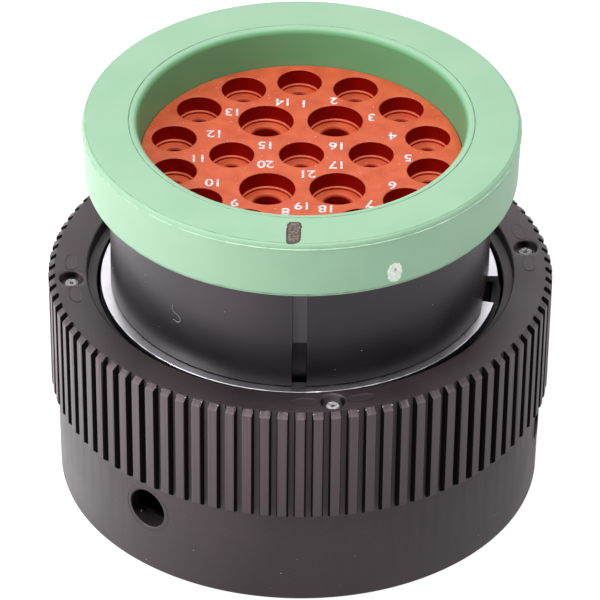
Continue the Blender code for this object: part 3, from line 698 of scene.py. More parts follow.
def well_outline(size):
    """From inside the seal up: bore, rounded lip, dished floor, well and its rounded mouth."""
    well = WELL_RADIUS[size]
    bore = BORE_RADIUS[size]
    floor = SEAL_FACE - WELL_DEPTH
    return [
        (bore, SEAL_LOW.z - MM),
        (bore, floor - 0.45 * MM),
        (bore + 0.06 * MM, floor - 0.28 * MM),
        (bore + 0.2 * MM, floor - 0.13 * MM),
        (bore + 0.4 * MM, floor - 0.08 * MM),
        ((bore + well) / 2, floor - 0.14 * MM),
        (well - 0.34 * MM, floor - 0.2 * MM),
        (well - 0.26 * MM, floor),
        (well - 0.1 * MM, floor + 0.1 * MM),
        (well, floor + 0.35 * MM),
        (well + 0.02 * MM, SEAL_FACE - 0.16 * MM),
        (well + 0.05 * MM, SEAL_FACE - 0.06 * MM),
        (well + 0.14 * MM, SEAL_FACE),
        (well + 0.14 * MM, SEAL_FACE + MM),
    ]


seal_outline = filleted(
    [
        (SEAL_BODY, SEAL_LOW.z, 0.1 * MM),
        (SEAL_BODY, SEAL_STEP, 0),
        (SEAL_EDGE, SEAL_STEP, 0),
        (SEAL_EDGE, SEAL_FACE, 0.08 * MM),
    ],
    solid=True,
)
seal = turned("wire_seal", seal_outline, 192, solid=True)
wells = {size: turned("well", well_outline(size), 48, solid=True) for size in ("small", "large")}
cutters = [
    moved_copy(wells[size], Matrix.Translation(place(radius, azimuth, 0)))
    for size, azimuth, radius in cavities()
]
for well in wells.values():
    bpy.data.objects.remove(well)
cut(seal, joined("wells", cutters))
smooth(seal)
finish(seal, SILICONE, "silicone", "plug_body", "rear_grommet")

# %% [markdown]
# Each cavity has a number printed beside it in white, upright for someone who holds the plug the other
# way round. A texture would need an image, so each number is a text object, made a thin mesh. The places
# are read from the photograph, as an angle from the back and millimetres from the axis, and each number
# is then nudged until all of its ink lies on the face between the wells.

# %% Print the numbers
NUMBER_HEIGHT = 2.0 * MM
INK_THICKNESS = 0.02 * MM
INK_SPREAD = 0.028 * MM
INK_CURVES = 8
NUMBER_PLACES = (
    ((1.1, 10.3), (20.3, 11.1), (45.8, 11.0), (69.2, 11.0), (93.3, 12.3), (120.6, 12.0), (143.0, 12.6))
    + ((188.6, 11.5), (217.3, 12.2), (239.5, 11.4), (265.0, 11.7), (292.2, 10.6), (318.6, 11.05))
    + ((347.2, 10.4), (-65.8, 4.4), (65.8, 4.4), (116.6, 4.5), (165.0, 11.1), (179.0, 10.2))
    + ((-116.6, 4.5), (170.0, 3.95))
)
WELLS = [(place(radius, azimuth, 0), WELL_RADIUS[size]) for size, azimuth, radius in cavities()]
MOUTH = 0.2 * MM  # the rounded mouth of a well, and a little face beside it
NUDGE = 0.01 * MM
TRIES = 48
TRIES_TO_SHRINK = 8
SHRINK = 0.93


def nearest_well(spot):
    """The gap between a spot on the face and the nearest well, and that well's middle."""
    return min(((spot - middle).length - radius, tuple(middle)) for middle, radius in WELLS)


def clearance(spot):
    return nearest_well(spot)[0]


def settle(text):
    """Nudges a number until its ink is off the wells, and shrinks it where there is too little room."""
    for attempt in range(TRIES):
        spots = [Vector((vert.co.x, vert.co.y, 0)) for vert in text.data.vertices]
        worst = min(spots, key=clearance)
        gap, well = nearest_well(worst)
        if gap >= MOUTH:
            return
        away = (worst - Vector(well)).normalized()
        text.data.transform(Matrix.Translation(away * (MOUTH - gap + NUDGE)))
        if (attempt + 1) % TRIES_TO_SHRINK == 0:
            middle = Matrix.Translation(sum(spots, Vector()) / len(spots))
            text.data.transform(middle @ Matrix.Diagonal((SHRINK, SHRINK, 1, 1)) @ middle.inverted())


def printed_number(number, spot):
    deselect()
    bpy.ops.object.text_add(rotation=(0, 0, math.pi), location=(spot.x, spot.y, SEAL_FACE))
    text = bpy.context.object
    text.data.body = str(number)
    text.data.size = NUMBER_HEIGHT
    text.data.align_x = "CENTER"
    text.data.align_y = "CENTER"
    text.data.extrude = INK_THICKNESS
    text.data.offset = INK_SPREAD
    text.data.resolution_u = INK_CURVES
    text.data.space_character = 0.95
    bpy.ops.object.convert(target="MESH")
    bpy.ops.object.transform_apply(location=True, rotation=True, scale=True)
    settle(bpy.context.object)
    return bpy.context.object


numbers = joined(
    "cavity_numbers",
    [
        printed_number(number, place(radius * MM, 180 - angle, 0))
        for number, (angle, radius) in enumerate(NUMBER_PLACES, 1)
    ],
)
finish(numbers, INK, "silicone", "plug_body")

# %% [markdown]
# ## The shell
#
# Only its neck shows, between the two rings, with a channel that ends in a deep slot, and a sloping flat
# on the right. Below, out of sight, are the flange that the coupling ring pulls on and the keyed barrel
# of the mating end. The round part is turned. What isn't round is cut or added with blocks, which is
# simpler than moving points of a ring that has 192 of them on each circle.

# %% Turn the shell
SHELL_LOW, SHELL_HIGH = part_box("plug_shell")
NECK_RADIUS = 21.6 * MM
NECK_TOP = 39.1 * MM
BARREL_RADIUS = 20.9 * MM
SHELL_BORE = 19.0 * MM
SHOULDER_RADIUS = 18.0 * MM
SHOULDER_HEIGHT = 10.0 * MM
SPIGOT_RADIUS = 20.4 * MM
FLANGE_RADIUS = 24.3 * MM
FLANGE_BOTTOM = 16.7 * MM
FLANGE_TOP = 19.1 * MM
GROOVE_FLOOR = 20.45 * MM
GROOVE_LOW = 24.4 * MM
GROOVE_HIGH = 25.52 * MM
CHANNEL_WIDTH = 1.65 * MM
CHANNEL_DEPTH = 0.3 * MM
SLOT_DEPTH = 1.8 * MM
SLOT_TOP = 31.25 * MM
SLOT_EASE = 0.01 * MM  # keeps the slot's walls off the channel's, so that both cuts stay clean
SLOT_BOTTOM = GROOVE_LOW + 0.5 * MM
FLAT_AZIMUTH = 83.0
FLAT_DEPTH = 0.45 * MM
FLAT_RUNOUT = 0.3 * MM
FLAT_HALF = 6 * MM
FLAT_BOTTOM = GROOVE_LOW + 0.3 * MM
KEY_HALF = 0.9 * MM
KEY_BOTTOM = SHELL_LOW.z + 0.55 * MM
KEY_TOP = 13.0 * MM
KEY_AZIMUTHS = (0.0, 58.0, 131.0, 229.0, 302.0)

shell_outline = filleted(
    [
        (SHOULDER_RADIUS, SHELL_LOW.z, 0.2 * MM),
        (BARREL_RADIUS, SHELL_LOW.z, 0.4 * MM),
        (BARREL_RADIUS, FLANGE_BOTTOM, 0.3 * MM),
        (FLANGE_RADIUS, FLANGE_BOTTOM, 0.2 * MM),
        (FLANGE_RADIUS, FLANGE_TOP, 0.2 * MM),
        (NECK_RADIUS, FLANGE_TOP, 0.15 * MM),
        (NECK_RADIUS, GROOVE_LOW, 0.05 * MM),
        (GROOVE_FLOOR, GROOVE_LOW, 0),
        (GROOVE_FLOOR, GROOVE_HIGH, 0),
        (NECK_RADIUS, GROOVE_HIGH, 0.08 * MM),
        (NECK_RADIUS, NECK_TOP, 0.1 * MM),
        (SPIGOT_RADIUS, NECK_TOP, 0),
        (SPIGOT_RADIUS, SHELL_HIGH.z, 0.1 * MM),
        (SHELL_BORE, SHELL_HIGH.z, 0.1 * MM),
        (SHELL_BORE, SHOULDER_HEIGHT, 0),
        (SHOULDER_RADIUS, SHOULDER_HEIGHT, 0),
    ]
)

shell = turned("plug_shell_moulding", shell_outline, 192)


# %% Cut the channels, slots and flat, and add the keys
def block(name, low, high, bevel=0.0):
    """A box between two corners, with its upright edges rounded."""
    deselect()
    bpy.ops.mesh.primitive_cube_add(size=1, location=(Vector(low) + Vector(high)) / 2)
    piece = bpy.context.object
    piece.name = name
    piece.scale = Vector(high) - Vector(low)
    bpy.ops.object.transform_apply(location=True, rotation=True, scale=True)
    if bevel:
        bpy.ops.object.mode_set(mode="EDIT")
        pick(lambda one, two: abs(one.z - two.z) > MM, "EDGE")
        bpy.ops.mesh.bevel(offset=bevel, segments=3, affect="EDGES")
        bpy.ops.object.mode_set(mode="OBJECT")
    return piece


half = CHANNEL_WIDTH / 2
channel = block(
    "channel",
    (-half, -NECK_RADIUS - MM, SLOT_TOP - MM),
    (half, -NECK_RADIUS + CHANNEL_DEPTH, NECK_TOP + MM),
    0.15 * MM,
)
slot = block(
    "slot",
    (-half - SLOT_EASE, -NECK_RADIUS - MM, SLOT_BOTTOM),
    (half + SLOT_EASE, -NECK_RADIUS + SLOT_DEPTH, SLOT_TOP),
    0.1 * MM,
)
key = block(
    "key",
    (-KEY_HALF, -BARREL_RADIUS - KEY_HALF, KEY_BOTTOM),
    (KEY_HALF, -BARREL_RADIUS + KEY_HALF, KEY_TOP),
    0.2 * MM,
)
flat = block(
    "flat",
    (-FLAT_HALF, -NECK_RADIUS - MM, FLAT_BOTTOM),
    (FLAT_HALF, -NECK_RADIUS + FLAT_DEPTH, NECK_TOP + MM),
)
for vert in flat.data.vertices:
    if vert.co.z > NECK_TOP and vert.co.y > -NECK_RADIUS:
        vert.co.y -= FLAT_DEPTH - FLAT_RUNOUT
cut(shell, round_the_axis("channels", channel, (0, 180)))
cut(shell, round_the_axis("slots", slot, (0, 180)))
cut(shell, round_the_axis("neck_flat", flat, (FLAT_AZIMUTH,)))
cut(shell, round_the_axis("keys", key, KEY_AZIMUTHS), "UNION")
smooth(shell)
finish(shell, SHELL_NYLON, "shell_plastic", "plug_body", "plug_shell")

# %% [markdown]
# ## The retaining ring
#
# A flat ring of spring steel that snaps into the neck's groove and keeps the coupling ring on. It is
# open on the right, so that it can be sprung off.

# %% Turn the ring and open it
CLIP_LOW, CLIP_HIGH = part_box("retaining_ring")
CLIP_INNER = 20.75 * MM
CLIP_OUTER = 22.65 * MM
CLIP_SHIFT = -0.1 * MM  # it lies a little to the left in its groove
CLIP_GAP_AZIMUTH = 84.0
CLIP_GAP_HALF = 6.5
clip_outline = filleted(
    [
        (CLIP_INNER, CLIP_LOW.z, 0),
        (CLIP_OUTER, CLIP_LOW.z, 0.1 * MM),
        (CLIP_OUTER, CLIP_HIGH.z, 0.1 * MM),
        (CLIP_INNER, CLIP_HIGH.z, 0),
    ],
    steps=3,
)
clip = turned("open_retaining_ring", clip_outline, 320, turn=CLIP_GAP_AZIMUTH)
bpy.ops.object.mode_set(mode="EDIT")
pick(lambda middle: abs(azimuth_of(middle) - CLIP_GAP_AZIMUTH) < CLIP_GAP_HALF)
bpy.ops.mesh.delete(type="FACE")
bpy.ops.mesh.select_all(action="SELECT")
bpy.ops.mesh.fill_holes(sides=0)
bpy.ops.object.mode_set(mode="OBJECT")
clip.data.transform(Matrix.Translation((CLIP_SHIFT, 0, 0)))
smooth(clip)
finish(clip, STEEL, "spring_steel", "plug_body", "retaining_ring")

# %% [markdown]
# ## The coupling ring
#
# This piece takes the most work. Its outline is turned with ten faces to each rib's pitch. Seven of the
# ten, over the height of the ribs, are extruded outwards and become a rib. Its tip is narrowed, which
# slopes the flanks, its top is pulled in to the chamfer and its foot runs out into the skirt. Then the
# edges are bevelled, and the bayonet tracks, view holes and gate marks are cut.

# %% Turn the coupling ring
RING_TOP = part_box("coupling_ring")[1].z
RIB_COUNT = 90
RIB_FACES = 10
RIB_TURN = 0.4
RIB_TIP = 28.7 * MM
RIB_FOOT = 27.9 * MM
RIB_DRAFT = 0.2 * MM
RIB_BOTTOM = 12.0 * MM
RIB_CHAMFER = 0.55 * MM
RIB_CREST = 28.08 * MM
SKIRT_RADIUS = 27.75 * MM
SKIRT_DRAFT = 0.3 * MM
RING_BORE = 24.9 * MM
POCKET_RADIUS = 23.15 * MM
MOUTH_RADIUS = 24.25 * MM
MOUTH_FLOOR = RING_TOP - 1.5 * MM
WEB_TOP = 22.1 * MM
WEB_BOTTOM = 19.4 * MM
WEB_BORE = 21.9 * MM

rib_shoulder = RING_TOP - RIB_CHAMFER
groove_start = RIB_FOOT - RIB_DRAFT
ring_outline = filleted(
    [
        (RING_BORE, 0, 0.25 * MM),
        (SKIRT_RADIUS - SKIRT_DRAFT, 0, 0.35 * MM),
        (SKIRT_RADIUS, RIB_BOTTOM, 0),
        (groove_start + 0.02 * MM, RIB_BOTTOM + 0.2 * MM, 0),
        (groove_start, RIB_BOTTOM + 0.5 * MM, 0),
        (RIB_FOOT, rib_shoulder, 0),
        (RIB_FOOT, RING_TOP, 0),
        (RIB_FOOT - 0.05 * MM, RING_TOP, 0),
        (MOUTH_RADIUS, RING_TOP, 0.25 * MM),
        (MOUTH_RADIUS, MOUTH_FLOOR, 0.1 * MM),
        (POCKET_RADIUS, MOUTH_FLOOR, 0.1 * MM),
        (POCKET_RADIUS, WEB_TOP, 0.1 * MM),
        (WEB_BORE, WEB_TOP, 0.1 * MM),
        (WEB_BORE, WEB_BOTTOM, 0.1 * MM),
        (RING_BORE, WEB_BOTTOM, 0.2 * MM),
    ],
    steps=3,
)
HALF_FACE = 180 / RIB_COUNT / RIB_FACES
ring = turned("grip_coupling_ring", ring_outline, RIB_COUNT * RIB_FACES, turn=RIB_TURN + HALF_FACE)


# %% Raise the ribs
def off_rib(point):
    """Degrees from the middle of the nearest rib, towards +X."""
    pitch = 360 / RIB_COUNT
    return (azimuth_of(point) - RIB_TURN + pitch / 2) % pitch - pitch / 2


def set_radius(test, radius):
    """Scales the picked points, which share one radius, to another about the axis."""
    pick(test, "VERT")
    mesh = bmesh.from_edit_mesh(bpy.context.edit_object.data)
    now = next(radius_of(vert.co) for vert in mesh.verts if vert.select)
    bpy.ops.transform.resize(value=(radius / now, radius / now, 1), center_override=(0, 0, 0))


RIB_HALF = 7 * HALF_FACE
TIP_HALF = 1.08
RIB_OUT = RIB_TIP / RIB_FOOT
LEVEL = 0.02 * MM


def level(height):
    """Tests for the rib tips at one height."""
    return lambda point: abs(point.z - height) < LEVEL and radius_of(point) > SKIRT_RADIUS + 0.2 * MM


bpy.ops.object.mode_set(mode="EDIT")
pick(
    lambda middle: RIB_BOTTOM < middle.z < RING_TOP - LEVEL
    and radius_of(middle) > groove_start - LEVEL
    and abs(off_rib(middle)) < RIB_HALF
)
bpy.ops.mesh.extrude_region_move(TRANSFORM_OT_translate={"value": (0, 0, 0)})
bpy.ops.transform.resize(value=(RIB_OUT, RIB_OUT, 1), center_override=(0, 0, 0))
for height, radius in (
    (RIB_BOTTOM, SKIRT_RADIUS + 0.06 * MM),
    (RIB_BOTTOM + 0.2 * MM, SKIRT_RADIUS + 0.45 * MM),
    (RIB_BOTTOM + 0.5 * MM, RIB_TIP - RIB_DRAFT),
    (RING_TOP, RIB_CREST),
):
    set_radius(level(height), radius)
mesh = bmesh.from_edit_mesh(ring.data)
for vert in mesh.verts:
    if vert.co.z > RIB_BOTTOM - LEVEL and radius_of(vert.co) > RIB_CREST - LEVEL:
        away = off_rib(vert.co)
        inward = math.radians(away * (TIP_HALF / RIB_HALF - 1))
        vert.co = Matrix.Rotation(inward, 3, "Z") @ vert.co
bmesh.update_edit_mesh(ring.data)
pick(
    lambda one, two: abs(one.z - two.z) > 0.1 * MM
    and min(radius_of(one), radius_of(two)) > RIB_CREST - LEVEL
    and abs(abs(off_rib(one)) - TIP_HALF) < 0.05
    and abs(abs(off_rib(two)) - TIP_HALF) < 0.05,
    "EDGE",
)
bpy.ops.mesh.bevel(offset=0.08 * MM, segments=2, affect="EDGES")
bpy.ops.object.mode_set(mode="OBJECT")
print("ribbed ring:", len(ring.data.polygons), "faces")

# %% [markdown]
# The mould was torn open against the glass-filled plastic, so the rib tops are ragged. Moving their
# points by a few hundredths of a millimetre gives each rib its own edge.

# %% Make the rib tops ragged
chance = random.Random(11)
for vert in ring.data.vertices:
    if vert.co.z > rib_shoulder - LEVEL and radius_of(vert.co) > RIB_FOOT + LEVEL:
        vert.co += Vector([chance.gauss(0, 0.02 * MM) for _ in range(2)] + [-abs(chance.gauss(0, 0.03 * MM))])

# %% [markdown]
# Inside the ring, three pins of the mating half come in through gaps at the mouth and climb along tracks.
# Each track is swept as one solid, step by step round the axis, and cut out of the bore.

# %% Cut the bayonet tracks
HOLE_AZIMUTHS = (-38, 82, 202)
HOLE_HEIGHT = 8.35 * MM
HOLE_RADIUS = 2.4 * MM
HOLE_CHAMFER = 0.28 * MM
TRACK_TURN = 74.0
TRACK_STEPS = 24
TRACK_WIDTH = 3.4 * MM
TRACK_DEPTH = 1.4 * MM
TRACK_START = 1.0 * MM
ENTRY_HALF = 4.4


def swept(name, inner, outer, sections):
    """A box section extruded round the axis, through (azimuth, lowest, highest)."""
    deselect()
    bpy.ops.mesh.primitive_plane_add(size=1)
    piece = bpy.context.object
    piece.name = name
    azimuth, low, high = sections[0]
    for vert in piece.data.vertices:
        vert.co = place(inner if vert.co.x < 0 else outer, azimuth, low if vert.co.y < 0 else high)
    bpy.ops.object.mode_set(mode="EDIT")
    bpy.ops.mesh.select_mode(type="FACE")
    bpy.ops.mesh.select_all(action="SELECT")
    for azimuth, next_low, next_high in sections[1:]:
        bpy.ops.mesh.extrude_region_move(TRANSFORM_OT_translate={"value": (0, 0, 0)})
        mesh = bmesh.from_edit_mesh(piece.data)
        for vert in (vert for vert in mesh.verts if vert.select):
            radius = inner if radius_of(vert.co) < (inner + outer) / 2 else outer
            vert.co = place(radius, azimuth, next_low if vert.co.z < (low + high) / 2 else next_high)
        bmesh.update_edit_mesh(piece.data)
        low, high = next_low, next_high
    bpy.ops.mesh.select_all(action="SELECT")
    bpy.ops.mesh.normals_make_consistent(inside=False)
    bpy.ops.object.mode_set(mode="OBJECT")
    return piece


# The pin comes in through a gap at the mouth, then climbs along the track to the view hole.
rise = HOLE_HEIGHT - TRACK_WIDTH / 2 - TRACK_START
sections = [(azimuth * ENTRY_HALF, -MM, TRACK_START + TRACK_WIDTH) for azimuth in (-1, -0.33, 0.33, 1)]
for step in range(TRACK_STEPS + 1):
    start = ENTRY_HALF + 0.3
    low = TRACK_START + rise * step / TRACK_STEPS
    sections.append((start + (TRACK_TURN - start) * step / TRACK_STEPS, low, low + TRACK_WIDTH))
track = swept("track", RING_BORE - MM, RING_BORE + TRACK_DEPTH, sections)
cut(ring, round_the_axis("tracks", track, [azimuth - TRACK_TURN for azimuth in HOLE_AZIMUTHS]))

# %% [markdown]
# Each track ends at a view hole, where one sees the pin arrive. A fine raised rim, which the mould's core
# left, runs round each hole. It is turned flat, and then its points are laid on the curved skirt.

# %% Cut the view holes and add their rims
RIM_OUTLINE = (
    (2.8 * MM, -0.1 * MM),
    (2.85 * MM, 0.025 * MM),
    (2.95 * MM, 0.03 * MM),
    (3.02 * MM, -0.1 * MM),
)
hole_outline = [
    (HOLE_RADIUS, RING_BORE - MM),
    (HOLE_RADIUS, SKIRT_RADIUS - 0.12 * MM - HOLE_CHAMFER / 2),
    (HOLE_RADIUS + HOLE_CHAMFER, SKIRT_RADIUS - 0.02 * MM),
    (HOLE_RADIUS + HOLE_CHAMFER, SKIRT_RADIUS + MM),
]
hole = turned("hole", hole_outline, 48, solid=True)
hole.data.transform(Matrix.Translation((0, 0, HOLE_HEIGHT)) @ Matrix.Rotation(math.pi / 2, 4, "X"))
cut(ring, round_the_axis("holes", hole, HOLE_AZIMUTHS))

rims = turned("rim", RIM_OUTLINE, 64)
rims.data.transform(Matrix.Translation((0, 0, HOLE_HEIGHT)) @ Matrix.Rotation(math.pi / 2, 4, "X"))
for vert in rims.data.vertices:
    skirt = SKIRT_RADIUS - SKIRT_DRAFT * (1 - vert.co.z / RIB_BOTTOM)
    vert.co.y = -math.sqrt((skirt - vert.co.y) ** 2 - vert.co.x**2)
rims = round_the_axis("view_hole_rims", rims, HOLE_AZIMUTHS)
smooth(rims)
finish(rims, RING_NYLON, "ring_plastic", "coupling_ring")

# %% [markdown]
# The plastic was injected at four gates in the ring's top, each in a shallow round dish with a raised lip.
# The dish is cut with a turned solid whose side has the lip's slope.

# %% Cut the gate marks
GATE_AZIMUTHS = (8.3, 99.7, 188, 276)
GATE_CIRCLE = 26.1 * MM
GATE_RADIUS = 1.4 * MM
GATE_DEPTH = 0.75 * MM
gate_outline = [
    (1.1 * MM, RING_TOP - GATE_DEPTH),
    (1.22 * MM, RING_TOP - GATE_DEPTH + 0.15 * MM),
    (GATE_RADIUS - 0.08 * MM, RING_TOP - 0.2 * MM),
    (GATE_RADIUS + 0.06 * MM, RING_TOP - 0.03 * MM),
    (GATE_RADIUS + 0.16 * MM, RING_TOP + 0.02 * MM),
    (GATE_RADIUS + 0.16 * MM, RING_TOP + MM),
]
gate = turned("gate", gate_outline, 32, solid=True)
gate.data.transform(Matrix.Translation((0, -GATE_CIRCLE, 0)))
cut(ring, round_the_axis("gates", gate, GATE_AZIMUTHS))
smooth(ring)
finish(ring, RING_NYLON, "ring_plastic", "coupling_ring", "coupling_ring")

# %% [markdown]
# In the middle of each gate mark a pale ring stands where the sprue was torn off, round a dark pit.

# %% Add the nubs
nub_outline = [
    (0.78 * MM, RING_TOP - GATE_DEPTH - 0.05 * MM),
    (0.74 * MM, RING_TOP - 0.62 * MM),
    (0.64 * MM, RING_TOP - 0.54 * MM),
    (0.42 * MM, RING_TOP - 0.52 * MM),
    (0.28 * MM, RING_TOP - 0.6 * MM),
    (0.25 * MM, RING_TOP - GATE_DEPTH - 0.05 * MM),
]
nub = turned("nub", nub_outline, 24)
chance = random.Random(17)
for vert in nub.data.vertices:
    vert.co += Vector([chance.gauss(0, 0.025 * MM) for _ in range(3)])
nub.data.transform(Matrix.Translation((0, -GATE_CIRCLE, 0)))
nubs = round_the_axis("gate_nubs", nub, GATE_AZIMUTHS)
smooth(nubs)
finish(nubs, TORN_BLACK, "ring_plastic", "coupling_ring")

# %% [markdown]
# ## Pieces kept from the frame
#
# The inserts, clips, seal and washers lie deep inside and show only through the open ends, so their
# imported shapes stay, with the finish of the real material.

# %% Finish the inner pieces
KEPT = {
    "rear_insert": INSULATOR,
    "front_insert": INSULATOR,
    "peripheral_seal": SILICONE,
    "thrust_washer": DARK_STEEL,
    "wave_washer": DARK_STEEL,
}
for name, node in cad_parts.items():
    material = COPPER if name.startswith("contact_clip") else KEPT.get(name)
    if material:
        node.data.materials.clear()
        node.data.materials.append(material)

# %% [markdown]
# ## Marks and dust
#
# The adapter has a plain dark index bar burnt into its top and a torn gate mark on its side. Shallow
# tongue-shaped marks lie beside the coupling ring's gates. A little dust lies on the seal, the neck and the
# ribs, slivers of torn plastic hang on the rib tops at the front, and one curled fibre sticks to the neck.

# %% Burn the index bar
BAR_AZIMUTH = -1.9
BAR_RADIUS = 22.35 * MM
BAR_LENGTH = 3.8 * MM
BAR_WIDTH = 1.3 * MM
BAR_THICKNESS = 0.02 * MM
BAR_SKEW = 0.3 * MM
OBLONG = 0.45
OVAL = 0.8


def ragged_patch(name, width, length, thickness, seed, fullness=OBLONG, dish=0.5):
    """A thin plate about the origin, longest along Y, with a rough edge and a dished middle."""
    chance = random.Random(seed)
    deselect()
    bpy.ops.mesh.primitive_circle_add(vertices=48, radius=1, fill_type="NGON")
    piece = bpy.context.object
    piece.name = name
    for vert in piece.data.vertices:
        x, y, _ = vert.co
        vert.co.x = math.copysign(abs(x) ** fullness, x) * chance.uniform(0.9, 1.04) * width / 2
        vert.co.y = math.copysign(abs(y) ** fullness, y) * chance.uniform(0.97, 1.02) * length / 2
    bpy.ops.object.mode_set(mode="EDIT")
    bpy.ops.mesh.select_all(action="SELECT")
    bpy.ops.mesh.extrude_region_move(TRANSFORM_OT_translate={"value": (0, 0, thickness)})
    bpy.ops.mesh.inset(thickness=0.1 * MM, depth=-thickness * dish)
    bpy.ops.mesh.select_all(action="SELECT")
    bpy.ops.mesh.normals_make_consistent(inside=False)
    bpy.ops.object.mode_set(mode="OBJECT")
    return piece


for name, grown, thickness, material, seed in (
    ("charred_edge", 0.4 * MM, BAR_THICKNESS * 0.75, CHARRED, 4),
    ("index_bar", 0.0, BAR_THICKNESS, BURNT, 3),
):
    bar = ragged_patch(name, BAR_WIDTH + grown, BAR_LENGTH + grown, thickness, seed, dish=0)
    for vert in bar.data.vertices:
        if vert.co.y < -BAR_LENGTH / 4:
            vert.co.y += BAR_SKEW * vert.co.x / BAR_WIDTH
    bar.data.transform(
        Matrix.Rotation(math.radians(BAR_AZIMUTH), 4, "Z")
        @ Matrix.Translation((0, -BAR_RADIUS, ADAPTER_TOP - 0.01 * MM))
    )
    finish(bar, material, "adapter_plastic", "plug_body")

# %% Tear the adapter's gate mark
SCAR_AZIMUTH = 25.1
SCAR_HEIGHT = 41.6 * MM
wall_share = (SCAR_HEIGHT - ADAPTER_LOW.z) / (ADAPTER_TOP - ADAPTER_LOW.z)
scar_radius = ADAPTER_RADIUS - ADAPTER_DRAFT * (1 - wall_share)
for name, width, length, proud, rise, material, seed in (
    ("gate_scar", 1.75 * MM, 2.45 * MM, 0.1 * MM, 0.0, TORN_MINT, 5),
    ("gate_pit", 0.34 * MM, 0.42 * MM, 0.13 * MM, 0.4 * MM, TORN_BLACK, 6),
):
    scar = ragged_patch(name, width, length, 0.12 * MM, seed, OVAL, dish=0)
    scar.data.transform(
        Matrix.Rotation(math.radians(SCAR_AZIMUTH), 4, "Z")
        @ Matrix.Translation((0, -scar_radius - proud + 0.12 * MM, SCAR_HEIGHT + rise))
        @ Matrix.Rotation(math.pi / 2, 4, "X")
    )
    finish(scar, material, "adapter_plastic", "plug_body")

# %% Press the tongue marks beside the gates
TONGUE_WIDTH = 1.4 * MM
TONGUE_LENGTH = 3.0 * MM
TONGUE_PROUD = 0.035 * MM
TONGUE_TURN = 7.0
tongues = []
for seed, azimuth in enumerate(GATE_AZIMUTHS):
    for side in (-1, 1):
        tongue = ragged_patch("tongue", TONGUE_WIDTH, TONGUE_LENGTH, 2 * TONGUE_PROUD, 30 + seed, OVAL)
        tongue.data.transform(
            Matrix.Rotation(math.radians(azimuth + side * TONGUE_TURN), 4, "Z")
            @ Matrix.Translation((0, -GATE_CIRCLE, RING_TOP - 0.6 * TONGUE_PROUD))
            @ Matrix.Rotation(math.pi / 2, 4, "Z")
        )
        tongues.append(tongue)
finish(joined("gate_tongues", tongues), RING_NYLON, "ring_plastic", "coupling_ring")


# %% Scatter dust
def dust(name, spots, seed, slot, body, material=DUST):
    """One speck at each (place, largest radius), joined into one piece."""
    chance = random.Random(seed)
    specks = []
    deselect()
    bpy.ops.mesh.primitive_ico_sphere_add(subdivisions=1, radius=1)
    first = bpy.context.object
    for spot, size in spots:
        shape = [size * chance.uniform(0.4, 1.0) for _ in range(3)]
        matrix = Matrix.Translation(spot) @ Matrix.Diagonal((*shape, 1))
        specks.append(moved_copy(first, matrix))
    bpy.data.objects.remove(first)
    finish(joined(name, specks), material, slot, body)


chance = random.Random(21)
face_spots = []
while len(face_spots) < 70:
    spot = place(SEAL_EDGE * math.sqrt(chance.random()) * 0.97, chance.uniform(0, 360), 0)
    if clearance(spot) > 0.1 * MM:
        face_spots.append((spot + Vector((0, 0, SEAL_FACE)), 0.07 * MM))
dust("seal_dust", face_spots, 1, "silicone", "plug_body")
neck_spots = [
    (place(NECK_RADIUS, chance.uniform(-180, 180), chance.uniform(27, 39) * MM), 0.06 * MM) for _ in range(60)
]
dust("neck_dust", neck_spots, 2, "shell_plastic", "plug_body")
ring_spots = [
    (place(SKIRT_RADIUS - 0.15 * MM, chance.uniform(-180, 180), chance.uniform(1, 11.5) * MM), 0.05 * MM)
    for _ in range(40)
]
dust("ring_dust", ring_spots, 3, "ring_plastic", "coupling_ring")


def sliver_spot(rib, side):
    """A spot on one edge of a rib's top."""
    azimuth = RIB_TURN + rib * 360 / RIB_COUNT + side * TIP_HALF
    return place(RIB_CREST + 0.12 * MM, azimuth, RING_TOP - chance.uniform(0.1, 0.5) * MM)


sliver_spots = [
    (sliver_spot(rib, side), 0.13 * MM)
    for rib in range(-10, 6)
    for side in (-1, 1)
    if chance.random() < 0.75
]
dust("rib_slivers", sliver_spots, 4, "ring_plastic", "coupling_ring", TORN_BLACK)

# %% Lay the fibre on the neck
FIBRE_AZIMUTH = -39.75
FIBRE_HEIGHT = 31.6 * MM
FIBRE_SHAPE = (
    ((-0.5, 1.1), (-0.62, 0.6), (-0.3, 0.15), (0.3, 0.1))
    + ((0.7, -0.3), (0.62, -0.8), (0.1, -1.0), (-0.4, -0.8))
)
deselect()
bpy.ops.curve.primitive_nurbs_path_add()
fibre = bpy.context.object
fibre.name = "neck_fibre"
fibre.data.splines.clear()
spline = fibre.data.splines.new("NURBS")
spline.points.add(len(FIBRE_SHAPE) - 1)
for point, (side, rise) in zip(spline.points, FIBRE_SHAPE):
    turn = math.degrees(side * MM / NECK_RADIUS)
    point.co = (*place(NECK_RADIUS + 0.02 * MM, FIBRE_AZIMUTH + turn, FIBRE_HEIGHT + rise * MM), 1)
spline.use_endpoint_u = True
spline.order_u = 4
fibre.data.bevel_depth = 0.03 * MM
fibre.data.bevel_resolution = 1
fibre.data.use_fill_caps = True
bpy.ops.object.convert(target="MESH")
bpy.ops.object.mode_set(mode="EDIT")
bpy.ops.mesh.select_all(action="SELECT")
bpy.ops.mesh.remove_doubles(threshold=WELD)
bpy.ops.mesh.normals_make_consistent(inside=False)
bpy.ops.object.mode_set(mode="OBJECT")
finish(fibre, TORN_BLACK, "shell_plastic", "plug_body")

# %% [markdown]
# ## The white table and the light
#
# The plug stands on a white sweep under soft light, strongest from the front left. The floor and the
# world look white to the camera and in reflections, more so on the left and away from the plug, and the
# lamps stay at a plain level. Under the plug itself the sweep doesn't glow, so the mating end and the view
# holes stay dark.


